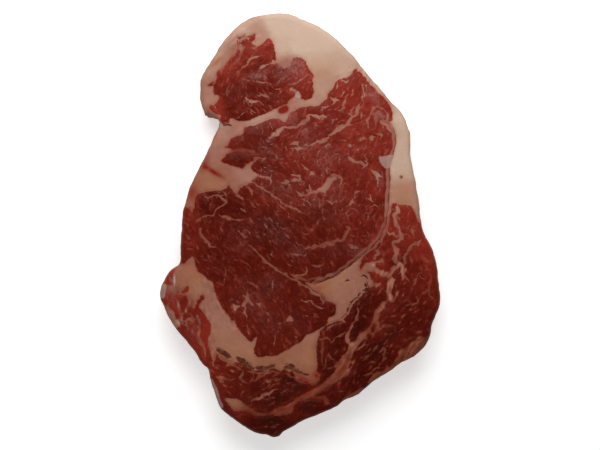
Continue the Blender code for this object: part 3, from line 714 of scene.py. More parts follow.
    Vein((0.8, 1.4, 0.9), (23.5, -66, 21, -70, 18, -74, 13, -79, 6, -83.3, 0, -86.6, -8, -91.2), 0.9),
    Vein((0.8, 1.2, 0.8), (26.3, -62, 24.5, -69.5, 21.5, -75, 15, -79.8, 7, -84.6, 0, -88), 0.8),
    Vein((1.4, 2.6, 1.2), (-41.4, -75.8, -39.6, -77.4, -37.8, -78.8), 0.6),
    # threads in the left fat and by the seam
    Vein((1.4, 0.9, 0.6), (-23.8, 31.4, -22, 33.4, -20, 33.2, -17.9, 33.3, -19.4, 31.4), 0.85),
    Vein((1.3, 1.2, 0.9), (-21, 24.8, -17.5, 24, -15.4, 23.3, -14.6, 21.8, -14.9, 20.4), 0.85),
    Vein((0.7, 0.8, 0.5), (-15.6, 23.6, -14.2, 25), 0.7),
    Vein((0.5, 0.7, 0.5), (-21, 38.6, -18.8, 38.9, -17, 38.7), 0.7),
    Vein((0.9, 1.2, 0.9), (-25.5, 18.4, -24.6, 17, -24.2, 15.2), 0.8),
)

SEAMS = (
    Vein((0.5, 0.6, 0.6), (
        41.4, 51.8, 43.7, 50.7, 45.4, 48.7, 47.1, 46.4, 47.8, 44.2, 47.6, 40, 47.1, 37.1, 46.4, 35, 45, 30,
        44.6, 28, 44.8, 22, 44.6, 15, 44.3, 10, 43.8, 6, 43.1, 2)),
    Vein((0.6, 0.9, 0.8), (
        43.8, 6, 43.1, 2, 42.4, -0.8, 41.4, -3.4, 40.3, -6, 38.5, -8.3, 36.2, -10.7, 33.7, -12.9,
        31.1, -14.9, 28.5, -16.9, 25.7, -19.2, 23.1, -21.4, 20.6, -23.4, 18, -25.1, 14.6, -26.6,
        11.1, -28.1, 7.4, -29.3), 0.9),
    Vein((0.5, 0.5, 0.5), (
        1.5, -28, 3, -29.8, 4.5, -31, 6, -32.3, 8, -33.4, 10, -34.3, 11.5, -35, 12.2, -36.2,
        12.5, -37.8), 0.8),
    Vein((1.2, 1.4, 1.1), (
        30.4, -26, 31.8, -25.2, 33, -25.4, 33.9, -27.6, 32.8, -29.6, 33.6, -31.4, 31.3, -32.8, 29.4, -34.6,
        28.8, -36.2, 26.5, -37.9, 25.2, -39.2, 24.2, -41.8, 23, -44, 21.2, -45.9), 0.8),
    Vein((0.8, 0.8, 0.7), (21, -48, 18.6, -48.3, 16.8, -49.2, 14.6, -50.4, 12.5, -51.6), 0.8),
    Vein((0.9, 1.1, 0.9), (9.6, -56, 9.3, -60, 8.7, -64, 9, -68.5), 0.8),
    Vein((0.8, 0.9, 0.8), (-0.5, -73.4, 1.8, -74.4, 4, -75, 4.6, -76), 0.7),
    Vein((0.8, 1.2, 0.8), (20, -27.4, 21.4, -26.8), 0.45),
    Vein((0.8, 1.4, 0.8), (22.6, -28.6, 24, -27.8, 25.2, -28.6), 0.6),
    Vein((0.8, 1.2, 0.8), (26.2, -27.4, 27.2, -26.6), 0.5),
    Vein((0.5, 0.8, 0.5), (20.2, -30.2, 21.2, -29.6), 0.4),
    Vein((0.7, 0.9, 0.7), (-32.5, -66, -29, -66.8, -26, -68.6, -23.6, -71.4, -24.6, -73), 0.7),
    Vein((0.6, 0.8, 0.6), (-8.4, -69.6, -5.6, -69.9, -3, -70.4, -0.6, -72.4), 0.7),
)

STAINS = {
    # painted sheen: whitish hazes where the soft light would reflect off the wet surface
    Stained.HAZE: stains(
        (13, 32, 5, 0.42, 1.6, 55), (25, 39.7, 0.9, 1), (24, 38, 4, 0.06, 1.4, 40), (3, 46.5, 3, 0.4),
        (-17, 38, 4, 0.3, 1.4, -10), (-22, 74.8, 1.9, 1.1, 2.2, 5), (-8, 79.2, 2, 1.2, 1.6),
        (-9, 74.5, 3, 0.6), (40, 54.4, 1.7, 1), (-20, 50, 2.2, 0.35, 3.5, 22), (-6, 53.5, 3, 0.6, 1.6, -20),
        (27, -12, 3.5, 0.35, 1.4, -35), (-7, 18.5, 3.5, 0.4, 1.4, 30), (-11, -3, 5, 0.22, 1.6, -35),
        (-17, 0, 5, 0.1, 1.8, -35), (18, 20, 3, 0.35), (17, -13, 5, 0.16), (2, 39, 5, 0.45),
        (-15, 18, 5, 0.2, 1.5, -20), (12, 11, 7, 0.25, 2), (-30, -5, 7, 0.12), (-24, -38, 5, 0.3, 1.6, -50),
        (0, -13.5, 3, 0.4, 1.5), (40, 22, 2, 0.7, 2, 90), (26, 32, 5, 0.1, 1.3, 60),
        (-53, -53, 2.5, 0.45, 1.6, 60), (-3, -48, 5, 0.1, 1.4, -30), (-14, -30, 5, 0.25),
        (-14, -50, 5, 0.2), (-64, -33, 3, 0.7, 1.6, 90), (-63.4, -27.6, 1.1, 0.8, 4, 91),
        (-1.6, 79, 4, 1.1, 1.5, 90), (-47, -41.5, 1.8, 0.2, 2, -50), (-16, 26, 3.5, 0.3),
        (36, 65, 2.6, 0.6, 2.6, -48)),
    Stained.ORANGE: stains(
        (10, 79, 7, 0.7, 1.3), (52, 16, 6, 1, 1.5, 90), (11, -32, 4, 0.8), (-5, -66, 13, 0.55, 2.5),
        (-33, -69, 9, 0.6, 2, 20), (-54, -27, 8, 0.85), (-33, -88, 4, 0.6), (47, 63, 5, 0.35),
        (-40, -54, 10, 0.4), (-46, 21, 7, 0.8, 1.5), (20, -28, 9, 0.5), (12, -31, 3, 0.5),
        (-54, 12, 4, 0.5, 1.6, 80), (4.5, -66, 3.5, 0.5, 2.5, 90), (-46, 44, 5, 0.3),
        (-41, 82, 1.3, 0.9, 4, 38), (-38, 76, 2, 0.3)),
    Stained.FLUSH: stains(
        (-42.9, 26.4, 1.3, 0.95, 4.2, -31), (-47.6, 30.2, 2, 0.55, 1.8, 65), (9.6, -32, 1.9, 0.3),
        (-41.5, 81.8, 0.9, 0.25, 4, 38), (-8.9, 57.4, 1.3, 2.5, 1.4, 20), (-7.2, 58.2, 1.2, 2, 1.2, 60),
        (-33, 38, 0.9, 0.9), (-46.5, 34.5, 2.2, 0.3), (-42.5, 44.6, 0.5, 0.5, 3, 60),
        (-54, 16, 3, 0.6, 1.6, 75), (8.3, -75.3, 1.8, 0.7), (1.5, -77, 1.8, 0.6, 2.4, -30),
        (3.4, -84.1, 1.1, 0.5, 5, 30), (-6, -91.5, 1.8, 0.28, 3, 20), (21, -72, 1.2, 0.6, 4, 50),
        (-66, -25, 3, 0.5), (-37.5, 52, 1.4, 0.35), (-61, -46, 1.6, 0.5), (-65.5, -37, 1.6, 0.7, 1.6)),
    Stained.TAN: stains(
        (56, -62, 4.5, 0.75, 2.6, 35), (40, -74.5, 2.2, 0.9, 2.6, 32), (28, -83, 2, 0.9, 2.6, 40),
        (13.5, -89.5, 1.8, 0.7, 2, 25), (-40, 58, 1.5, 0.5), (-46, 57, 1.6, 0.6), (50.6, 24, 0.75, 1.6),
        (-64, -46.5, 1.5, 0.5, 2.5, -55), (-32, -96.5, 1.2, 0.5, 6, -40), (65, -55, 2, 0.6),
        (4, -94.5, 1.2, 0.5, 4, 25)),
    Stained.BROWN: stains(
        (33, -38, 4.5, 0.45, 1.5), (28, -52, 2.6, 0.85, 2.2, 70), (39, -63, 4.5, 0.8, 1.4, 30),
        (46, -54, 3, 0.6, 1.6, 40), (-4, -78, 3.2, 0.8, 2.2, -10), (-10, -86.5, 2.6, 0.7, 2.4, 15),
        (-14, -98, 3.4, 0.85, 1.8), (14, -72, 3.5, 0.4), (18, -58, 4, 0.4), (3, -90.6, 2.6, 0.9, 2.2, 10),
        # the brown stain at (-58.4, -37.8) is painted shade in the deep tear's hollow
        (15, -62.5, 2.5, 0.6), (-58.4, -37.8, 1.2, 0.8, 2.4, 70), (-20, -83, 4, 0.3, 2), (30, -77, 4, 0.4),
        (-32, 33, 3.5, 0.4, 1.6), (0, -83, 3, 0.5, 1.6), (9.3, -64, 0.8, 0.9, 5, 85)),
    # painted highlights: the white line on the left flap's ridge and a few small glints
    Stained.SHINE: stains(
        (-62.8, -27.6, 0.3, 1, 8, 91), (-60.9, -39.5, 0.35, 0.22, 5, 112), (25, 39.7, 0.6, 0.4),
        (36.9, -20, 0.45, 0.4, 1.6)),
    Stained.FEATHER: stains(
        (52, -34, 14, 1, 1.4, 90), (46, -62, 11, 1, 1.6, 35), (56, -60, 5, 0.8, 1.6, 35),
        (-14, -81, 10, 0.6, 1.8), (-54, -50, 8, 1, 1.5, 100), (-45, -29, 4, 0.4, 1.8, 125),
        (-36, -45, 4, 0.5, 2, 125), (-36, 74, 8, 0.55), (-10, -90, 5, 0.6), (22, -66, 8, 0.7),
        (-5, 70, 6, 0.6), (-36, -74, 8, 0.9), (52, 2, 6, 0.6), (28, 70, 8, 0.9), (-65, -36, 5, 0.8),
        (-27, 91, 6, 0.9), (-27, 17, 4, 0.5)),
}

# how bright the lean is, as a share of its range of colours
LEAN_BRIGHTNESS = marks(
    (-26, 90, 0.78), (-33, 82, 0.85), (-37, 77, 0.95), (-31, 73, 0.54), (-40, 69, 0.42), (-31, 65, 0.26),
    (-33, 57, 0.36), (-15, 90, 1), (-14, 84, 0.72), (-20, 78, 0.42), (-10, 76, 0.5), (-12, 66, 0.42),
    (2, 76, 0.95), (-3, 68, 0.8), (-22, 61, 0.46), (-5, 60, 0.75), (25, 68, 0.86), (8, 50, 0.6),
    (-18, 35, 0.4), (35, 60, 0.9), (33, 45, 0.8), (12, 30, 0.66), (0, 30, 0.72), (36, 20, 0.7),
    (25, 13, 0.6), (-5, 25, 0.5), (-20, 17, 0.5), (-3, 14, 0.58), (5, 3, 0.38), (30, -4, 0.5),
    (15, -14, 0.32), (-13, -5, 0.16), (-30, 8, 0.22), (-45, 10, 0.14), (-42, -8, 0.31), (-42, -18, 0.2),
    (-56, -7, 0.54), (-30, -20, 0.34), (-13, -28, 0.28), (-5, -20, 0.38), (-15, -40, 0.46), (1, -43, 0.34),
    (-10, -55, 0.42), (-32, -36, 0.42), (48, 4, 0.95), (54, 0, 0.76), (43, -13, 0.62), (39, -26, 0.72),
    (54, -23, 0.28), (62, -13, 0.95), (66, -24, 0.64), (60, -40, 0.24), (46, -41, 0.28), (36, -36, 0.2),
    (55, -50, 0.17), (30, -46, 0), (18, -58, 0.12), (46, -57, 0.34), (39, -62, 0), (40, -50, 0.42),
    (16, -68, 0.1), (30, -75, 0.06), (-5, -80, 0.24), (0, -86, 0.34), (-20, -79, 0.3), (-30, -82, 0.38),
    (-12, -98, -0.05), (-10, -90, 0.26), (10, -91, 0.1), (-55, -46, 0.36), (-48, -55, 1.2), (-51, -49, 0.8),
    (-57, -54, 0.7), (-52, -60, 0.9), (-47, -69, 0.7), (-38, -71, 0.42), (-42, -77, 0.68), (-65, -34, 1),
    (-63, -41, 0.9), (-48, -22, 0.46), (61, -31, 0.6), (-44.5, 58.5, 1.4), (-57, 6, 0.7), (12, -60, 0.5),
    (4, -50, 0.26), (38, 6, 0.5),
)

# how the strands run, in half turns from +X
GRAIN = marks(
    (-36, 70, 0.44), (-20, 62, 0.8), (-25, 82, 0.22), (-5, 72, 0.28), (20, 65, 0.33), (28, 50, 0.25),
    (0, 46, 0.2), (38, 35, 0.35), (-15, 32, 0.75), (-15, 15, 0.72), (-45, 8, 0.7), (-30, -5, 0.72),
    (-5, -5, 0.7), (12, 2, 0.6), (30, 5, 0.45), (36, 22, 0.5), (-45, -18, 0.72), (-15, -40, 0.68),
    (0, -50, 0.62), (52, 0, 0.46), (62, -15, 0.58), (55, -35, 0.33), (45, -60, 0.22), (20, -68, 0.3),
    (5, -88, 0.16), (-20, -82, 0.14), (-36, -74, 0.9), (-52, -55, 0.58), (-65, -36, 0.55), (-12, -98, 0.05),
)

# how pale the fat is, as a share of its range of colours
FAT_PALENESS = marks(
    (-30, 97, 0.86), (-10, 100, 1.06), (10, 95, 1.05), (30, 88, 1), (48, 72, 1), (21, 82, 0.9),
    (29, 79, 0.78), (10, 82, 0.98), (0, 90, 1.03), (12, 73, 0.74), (52, 55, 0.98), (50, 40, 0.93),
    (50, 29, 0.97), (51, 14, 0.68), (-36, 84.6, 0.48), (-40, 87, 0.84), (-34.6, 88.4, 0.34),
    (-38, 93, 0.86), (-47, 76, 0.68), (-46, 65, 0.54), (-47, 70, 0.46), (-32, 47, 0.5), (-21, 52.2, 0.7),
    (-15, 55, 0.68), (-42, 40, 0.45), (-38, 23, 0.4), (-50, 20, 0.36), (-28, 37, 0.16), (5, 61, 0.68),
    (-6, 55, 0.54), (-26, 27, 0.5), (-33, 72, 0.28), (-7.6, 81, 0.38), (-9, 87, 0.96), (-21, 93, 0.66),
    (-3, 66, 0.5), (20, 48, 0.5), (10, 42, 0.5), (30, 31, 0.46), (14, 22, 0.48), (0, 52, 0.44),
    (-30, 10, 0.34), (-46, 4, 0.32), (14, -9, 0.3), (-35, -22, 0.26), (48, 0, 0.48), (48, -12, 0.4),
    (51, -21, 0.3), (18, -30, 0.5), (9.5, -32, 0.24), (28, -34, 0.46), (14, -44, 0.42), (40, -20, 0.4),
    (44, -32, 0.34), (-5, -24, 0.36), (8, -34, 0.44), (-55, -24, 0.37), (-50, -32, 0.44), (-40, -50, 0.51),
    (-30, -62, 0.52), (-15, -68, 0.35), (0, -65, 0.41), (5, -57, 0.5), (6, -74, 0.31), (-33, -68, 0.44),
    (37, -51, 0.16), (39, -44, 0.26), (28, -60, 0.36), (11, -61, 0.2), (-63.4, -47, 0.6),
    (-60.8, -39.6, 0.2), (-42, 46, 0.62), (22, -72, 0.14), (26, -67.6, 0.04), (12, -81, 0.02),
    (2, -86, 0.12), (-14, -94.2, 0.02), (-22, -94.5, 0.14), (-32, -89, 0.4), (-29, -93, 0.12),
    (38, 56, 0.46), (38, 45, 0.48), (-18, -84, 0.42), (-12, -100, 0.44), (50, -66, 0.14), (60, -58, 0.18),
    (38, -80, 0.24), (24, -85, 0.3), (-50, -54, 0.34),
)


@dataclass(frozen=True)
class Field:
    """A smooth value over the cut face, drawn through marks, in millimetres."""

    marks: tuple[Mark, ...]
    reach: float = 7.0
    fall: float = 2.5

    def read(self, places: Array) -> Array:
        """Read the field, to which each mark adds less the further it is.

        Args:
            places: The places, one row each.

        Returns:
            The field's value at each place.
        """
        total = np.zeros(len(places))
        weight = np.zeros(len(places))
        for mark in self.marks:
            away = ((places - (mark.x, mark.y)) ** 2).sum(axis=1) / self.reach ** 2
            share = 1.0 / (1.0 + away) ** self.fall
            total += share * mark.value
            weight += share
        return total / weight


@dataclass(frozen=True)
class Flecks:
    """Short fine threads of fat in the lean, in millimetres. They fade away from the middle."""

    count: int = 1500
    spare: int = 3
    box: tuple[Point, Point] = ((-68, -104), (68, 96))
    fat_clearance: float = 1.4
    edge_clearance: float = 3.0
    shortest: float = 0.6
    longest: float = 3.4
    shortness: float = 2.4
    turn_stray: float = 0.5
    bend_stray: float = 0.16
    width: float = 0.30
    width_range: float = 0.46
    start_share: float = 0.5
    end_share: float = 0.6
    middle: Point = (2.0, 20.0)
    fade_reach: float = 75.0
    middle_gain: float = 1.6
    faded: float = 1.1
    strength: float = 0.25
    strength_range: float = 0.6
    seed: int = 11

    def scatter(self, pattern: "Pattern") -> list[Vein]:
        """Scatter the flecks.

        Args:
            pattern: The cut's pattern, which says where the lean is.

        Returns:
            The flecks, all in the lean.
        """
        rng = np.random.default_rng(self.seed)
        places = rng.uniform(*self.box, (self.count * self.spare, 2))
        places = places[pattern.fat_depth(places) < -self.fat_clearance]
        places = places[depth_inside(places, pattern.edge) > self.edge_clearance][: self.count]
        made = []
        for place, turn in zip(places, pattern.grain_angle(places)):
            length = self.shortest + (self.longest - self.shortest) * rng.random() ** self.shortness
            angle = turn + rng.normal(0.0, self.turn_stray)
            bend = rng.normal(0.0, self.bend_stray) * length
            reach = np.array((math.cos(angle), math.sin(angle))) * length / 2
            side = np.array((-reach[1], reach[0])) / (length / 2) * bend
            width = self.width + self.width_range * rng.random() ** 2
            gone = min(1.0, math.dist(place, self.middle) / self.fade_reach)
            strength = self.strength + self.strength_range * rng.random()
            path = (*(place - reach), *(place + side), *(place + reach))
            widths = (width * self.start_share, width, width * self.end_share)
            made.append(Vein(widths, path, (self.middle_gain - self.faded * gone) * strength))
        return made


@dataclass
class Pattern:
    """The cut's pattern of tissues, read at any place of the slice, in millimetres."""

    edge: Array
    drift: float = 2.6
    drift_period: float = 26.0
    spread: float = 0.0106
    margin: float = 7.0
    far: float = 9.0
    stray: float = 0.5
    stray_period: float = 2.3
    ragged: float = 0.75
    ragged_period: float = 1.7
    taper: float = 1.6
    tip: float = 0.25
    tip_roundness: float = 0.7
    vein_reach: float = 2.5
    seam_reach: float = 3.0
    grain_reach: float = 6.0
    grain_sway: float = 0.5
    grain_period: float = 11.0
    strand_period: float = 1.0
    strand_step: float = 0.6
    strand_steps: int = 2
    pale_reach: float = 5.0
    flecks: Flecks = field(default_factory=Flecks)

    def through(self, places: Array, depths: Array) -> Array:
        """Find where the pattern is read for places below the upper face.

        Args:
            places: The places seen from above, in millimetres.
            depths: How deep each lies under the upper face, as a share of the thickness.

        Returns:
            The places of the upper face whose tissue runs down to them.
        """
        shift = [value_noise(places, self.drift_period, seed) for seed in (Seed.DRIFT_X, Seed.DRIFT_Y)]
        drawn = places * (1.0 + self.spread * (1.0 - depths))[:, None]
        return drawn + self.drift * depths[:, None] * np.stack(shift, axis=1)

    def fat_depth(self, places: Array) -> Array:
        """Return how deep each place lies in fat, negative in the lean."""
        return self.patch_depth(places, Tissue.FAT, Tissue.LEAN)

    def patch_depth(self, places: Array, wanted: Tissue, other: Tissue | None = None) -> Array:
        """Measure places against the patches of one tissue.

        Args:
            places: The places, one row each.
            wanted: The tissue.
            other: The tissue whose later patches cut it away.

        Returns:
            How deep each place lies in the tissue, negative outside it.
        """
        depth = np.full(len(places), -self.margin)
        for patch in PATCHES:
            if patch.tissue not in (wanted, other):
                continue
            outline = smooth_line(patch.outline, closed=True, pieces=2)
            near = near_box(places, outline, self.margin)
            inside = depth_inside(places[near], outline)
            if patch.tissue is wanted:
                depth[near] = np.maximum(depth[near], inside)
            else:
                depth[near] = np.minimum(depth[near], -inside)
        return depth

    def threads(self, places: Array, veins: Iterable[Vein], reach: float) -> tuple[Array, Array, Array]:
        """Measure places against the nearest of many threads.

        Args:
            places: The places, one row each.
            veins: The threads.
            reach: How far from a thread it still counts.

        Returns:
            The distance across the nearest thread in half widths, signed by its side, the gap
            to its border, and its strength.
        """
        across = np.full(len(places), self.far)
        gap = np.full(len(places), reach)
        strength = np.zeros(len(places))
        stray = [value_noise(places, self.stray_period, seed) for seed in (Seed.STRAY_X, Seed.STRAY_Y)]
        strayed = places + self.stray * np.stack(stray, axis=1)
        swelling = 1.0 + self.ragged * value_noise(places, self.ragged_period, Seed.RAGGED)
        for vein in veins:
            line = smooth_line(vein.path, closed=False)
            near = near_box(places, line, reach)
            if not len(near):
                continue
            seen = nearness(strayed[near], line)
            length = np.linalg.norm(np.diff(line, axis=0), axis=1).sum()
            to_end = np.minimum(seen.along, 1.0 - seen.along) * length
            half = 0.5 * np.interp(seen.along, (0.0, 0.5, 1.0), vein.widths) * swelling[near]
            half *= np.clip(to_end / self.taper, self.tip, 1.0) ** self.tip_roundness
            beyond = seen.gap - half
            closer = beyond < gap[near]
            taken = near[closer]
            gap[taken] = beyond[closer]
            across[taken] = (seen.across / half)[closer]
            strength[taken] = vein.strength
        return across, gap, strength

    def stain(self, places: Array, kind: Stained) -> Array:
        """Add up the stains of one kind.

        Args:
            places: The places, one row each.
            kind: What the stains change.

        Returns:
            The strength at each place, from 0 to 1.
        """
        total = np.zeros(len(places))
        for stain in STAINS[kind]:
            turn = math.radians(stain.turn)
            away = places - (stain.x, stain.y)
            along = away @ (math.cos(turn), math.sin(turn)) / (stain.reach * stain.stretch)
            aside = away @ (-math.sin(turn), math.cos(turn)) / stain.reach
            total += stain.strength * np.exp(-(along ** 2 + aside ** 2))
        return np.clip(total, 0.0, 1.0)

    def grain_angle(self, places: Array) -> Array:
        """Return the direction in which the lean's strands run at each place, in radians."""
        sway = self.grain_sway * value_noise(places, self.grain_period, Seed.GRAIN)
        return math.pi * Field(GRAIN, self.grain_reach).read(places) + sway

    def strands(self, places: Array) -> Array:
        """Draw noise out along the grain.

        Args:
            places: The places, one row each.

        Returns:
            A streaky value, about -1 to 1, at each place.
        """
        angle = self.grain_angle(places)
        along = self.strand_step * np.stack((np.cos(angle), np.sin(angle)), axis=1)
        steps = range(-self.strand_steps, self.strand_steps + 1)
        total = sum(value_noise(places + step * along, self.strand_period, Seed.STRAND) for step in steps)
        return total / math.sqrt(len(steps))

    def read(self, places: Array) -> dict[str, Array]:
        """Read the whole pattern.

        Args:
            places: The places, one row each.

        Returns:
            Every value that the finish reads, at each place, by name.
        """
        values = {
            "fat_depth": self.fat_depth(places),
            "skin_depth": self.patch_depth(places, Tissue.SKIN),
            "bruise_depth": self.patch_depth(places, Tissue.BRUISE),
            "strand": self.strands(places),
            "lean_light": Field(LEAN_BRIGHTNESS).read(places),
            "fat_pale": Field(FAT_PALENESS, self.pale_reach).read(places),
        }
        veins = VEINS + tuple(self.flecks.scatter(self))
        for kind, lines, reach in (("vein", veins, self.vein_reach), ("seam", SEAMS, self.seam_reach)):
            seen = zip(("across", "gap", "strength"), self.threads(places, lines, reach))
            values.update({f"{kind}_{what}": numbers for what, numbers in seen})
        values.update({kind.value: self.stain(places, kind) for kind in Stained})
        return values


# The slab: one closed mesh with a fine upper cut face.

MERGE_DISTANCE = 1e-6
CUT_TOLERANCE = 1e-7


def ring_at_height(node: bpy.types.Object, height: float) -> Array:
    """Cut a solid level.

    Args:
        node: The solid. It is copied, not changed.
        height: The level of the cut, in metres.

    Returns:
        The cut's outline, anticlockwise, in millimetres.
    """
    solid = bmesh.new()
    solid.from_mesh(node.data)
    bmesh.ops.remove_doubles(solid, verts=solid.verts, dist=MERGE_DISTANCE)
    everything = list(solid.verts) + list(solid.edges) + list(solid.faces)
    bmesh.ops.bisect_plane(solid, geom=everything, dist=CUT_TOLERANCE, plane_co=(0, 0, height),
                           plane_no=(0, 0, 1), clear_inner=True, clear_outer=True)
    vertex = next(iter(solid.verts))
    walked, edge = [vertex], vertex.link_edges[0]
    while True:
        vertex = edge.other_vert(vertex)
        if vertex is walked[0]:
            break
        walked.append(vertex)
        edge = next(other for other in vertex.link_edges if other is not edge)
    ring = np.array([(corner.co.x, corner.co.y) for corner in walked]) / MM
    solid.free()
    ends = np.roll(ring, -1, axis=0)
    area = (ring[:, 0] * ends[:, 1] - ring[:, 1] * ends[:, 0]).sum() / 2
    return ring if area > 0 else ring[::-1]


def evenly_spaced(ring: Array, spacing: float) -> Array:
    """Space points evenly along a closed ring.

    Args:
        ring: The ring's points, one row each.
        spacing: The distance wanted between points.

    Returns:
        The new points, one row each.
    """
    closed = np.vstack((ring, ring[:1]))
    travelled = np.concatenate(([0.0], np.cumsum(np.linalg.norm(np.diff(closed, axis=0), axis=1))))
    count = round(travelled[-1] / spacing)
    stops = np.arange(count) * travelled[-1] / count
    return np.stack([np.interp(stops, travelled, closed[:, axis]) for axis in (0, 1)], axis=1)


def outward(ring: Array) -> Array:
    """Return the level direction out of an anticlockwise ring at each of its points."""
    run = np.roll(ring, -1, axis=0) - np.roll(ring, 1, axis=0)
    return np.stack((run[:, 1], -run[:, 0]), axis=1) / np.linalg.norm(run, axis=1, keepdims=True)


def fill_ring(ring: Array, within: Array) -> Array:
    """Fill a ring with triangles over points inside it.

    Args:
        ring: The ring's points, one row each.
        within: The points inside it, one row each.

    Returns:
        The triangles' corners, as indices into the ring's points followed by those inside.
    """
    points = [Vector(point) for point in np.vstack((ring, within))]
    edges = [(index, (index + 1) % len(ring)) for index in range(len(ring))]
    _, _, triangles, origins, _, _ = delaunay_2d_cdt(points, edges, [], 1, CUT_TOLERANCE)
    keys = np.array([origin[0] for origin in origins])
    return keys[np.array([list(triangle) for triangle in triangles])]


@dataclass(frozen=True)
class Relief:
    """The ups and downs of the upper cut face, in millimetres."""

    swell: float = 0.55
    swell_period: float = 30.0
    lump: float = 0.30
    lump_period: float = 5.0
    bump: float = 0.13
    bump_period: float = 2.2
    lean_puff: float = 0.45
    puff_reach: float = 5.0
    puff_roundness: float = 0.6
    fat_calm: float = 0.7
    border_groove: float = 0.15
    border_width: float = 0.8
    seam_groove: float = 0.22
    seam_width: float = 0.45
    vein_groove: float = 0.10
    vein_width: float = 0.5

    def height(self, places: Array, values: dict[str, Array]) -> Array:
        """Raise and groove the cut face.

        Args:
            places: The places, one row each.
            values: The pattern's values there.

        Returns:
            The height over the mean cut face at each place.
        """
        depth = values["fat_depth"]
        vein_gap = np.maximum(values["vein_gap"], 0.0)
        height = self.swell * value_noise(places, self.swell_period, Seed.SWELL)
        loose = 1.0 - self.fat_calm * np.clip(depth / self.puff_reach, 0.0, 1.0)
        height += loose * self.lump * value_noise(places, self.lump_period, Seed.LUMP)
        height += loose * self.bump * value_noise(places, self.bump_period, Seed.BUMP)
        height += self.lean_puff * np.clip(-depth / self.puff_reach, 0.0, 1.0) ** self.puff_roundness
        for groove, gap, width in (
                (self.border_groove, depth, self.border_width),
                (self.seam_groove * values["seam_strength"], values["seam_gap"], self.seam_width),
                (self.vein_groove * values["vein_strength"], vein_gap, self.vein_width)):
            height -= groove * np.exp(-(gap / width) ** 2)
        return height


@dataclass(frozen=True)
class Wall:
    """The slab's side: its roundings, its waist and its tears, in millimetres.

    The last rows, the calm ones, are torn less, and the whole side is set in a little.
    """

    foot: float = 3.0
    foot_rows: int = 5
    rim_in: float = 2.8
    rim_drop: float = 2.8
    rim_rows: int = 8
    rows: int = 13
    waist: float = 0.55
    ragged: float = 0.38
    ragged_period: float = 5.5
    rough: float = 0.16
    rough_period: float = 2.1
    calm_rows: int = 4
    calm: float = 0.4
    tear_slant: float = 0.6
    inset: float = 0.1

    def profile(self, top: float) -> list[Spot]:
        """List the rows of points from the underside up to the cut face.

        Args:
            top: The height of the mean cut face.

        Returns:
            Each row's height, its depth under the outline and its share of the rim.
        """
        rows = []
        for index in range(self.foot_rows):
            turn = math.pi / 2 * index / self.foot_rows
            rows.append((self.foot * (1 - math.cos(turn)), self.foot * (1 - math.sin(turn)), 0.0))
        rim_foot = top - self.rim_drop
        for index in range(self.rows + 1):
            share = index / self.rows
            depth = self.waist * math.sin(math.pi * share) ** 2
            rows.append((self.foot + (rim_foot - self.foot) * share, depth, 0.0))
        for index in range(1, self.rim_rows + 1):
            turn = math.pi / 2 * index / self.rim_rows
            rows.append((rim_foot, self.rim_in * (1 - math.cos(turn)), math.sin(turn)))
        return rows

    def tears(self, spots: Array) -> Array:
        """Return how far in the side is torn at places in space, negative outwards."""
        torn = self.ragged * value_noise(spots, self.ragged_period, Seed.TEAR)
        return torn + self.rough * value_noise(spots, self.rough_period, Seed.ROUGH)


@dataclass(frozen=True)
class Layout:
    """Where the faces lie when they are laid out flat, as shares of the sheet.

    The upper face has the first scale, for a metre, and the rest has the lesser one. The side
    lies in strips, one above the other.
    """

    scale: float = 4.44
    lesser: float = 2.22
    top: Point = (0.01, 0.01)
    under: Point = (0.66, 0.01)
    side: Point = (0.65, 0.52)
    strips: int = 5
    strip_step: float = 0.085
    side_rise: float = 0.03

    def spread(self, corners: Array, loops: Array, side: int, top: int, around: int, step: float) -> Array:
        """Lay the faces out.

        Args:
            corners: The mesh's points, in metres.
            loops: The points' indices, face by face.
            side: How many of them belong to the side's faces. They come first.
            top: How many belong to the upper face. They come next.
            around: How many points each ring of the side has.
            step: The distance between the ring's points, in metres.

        Returns:
            The place of each face corner on the sheet.
        """
        low = corners[:, :2].min(axis=0)
        flat = corners[loops][:, :2] - low
        sheet = flat * self.scale + self.top
        sheet[side + top:] = flat[side + top:] * self.lesser + self.under
        rows, columns = np.divmod(loops[:side], around)
        first = np.repeat(columns[::4], 4)
        per_strip = math.ceil(around / self.strips)
        strip = first // per_strip
        along = (first - strip * per_strip + (columns != first)) * step * self.lesser
        rise = rows / rows.max() * self.side_rise * self.lesser
        sheet[:side] = np.column_stack((along, strip * self.strip_step + rise)) + self.side
        return sheet


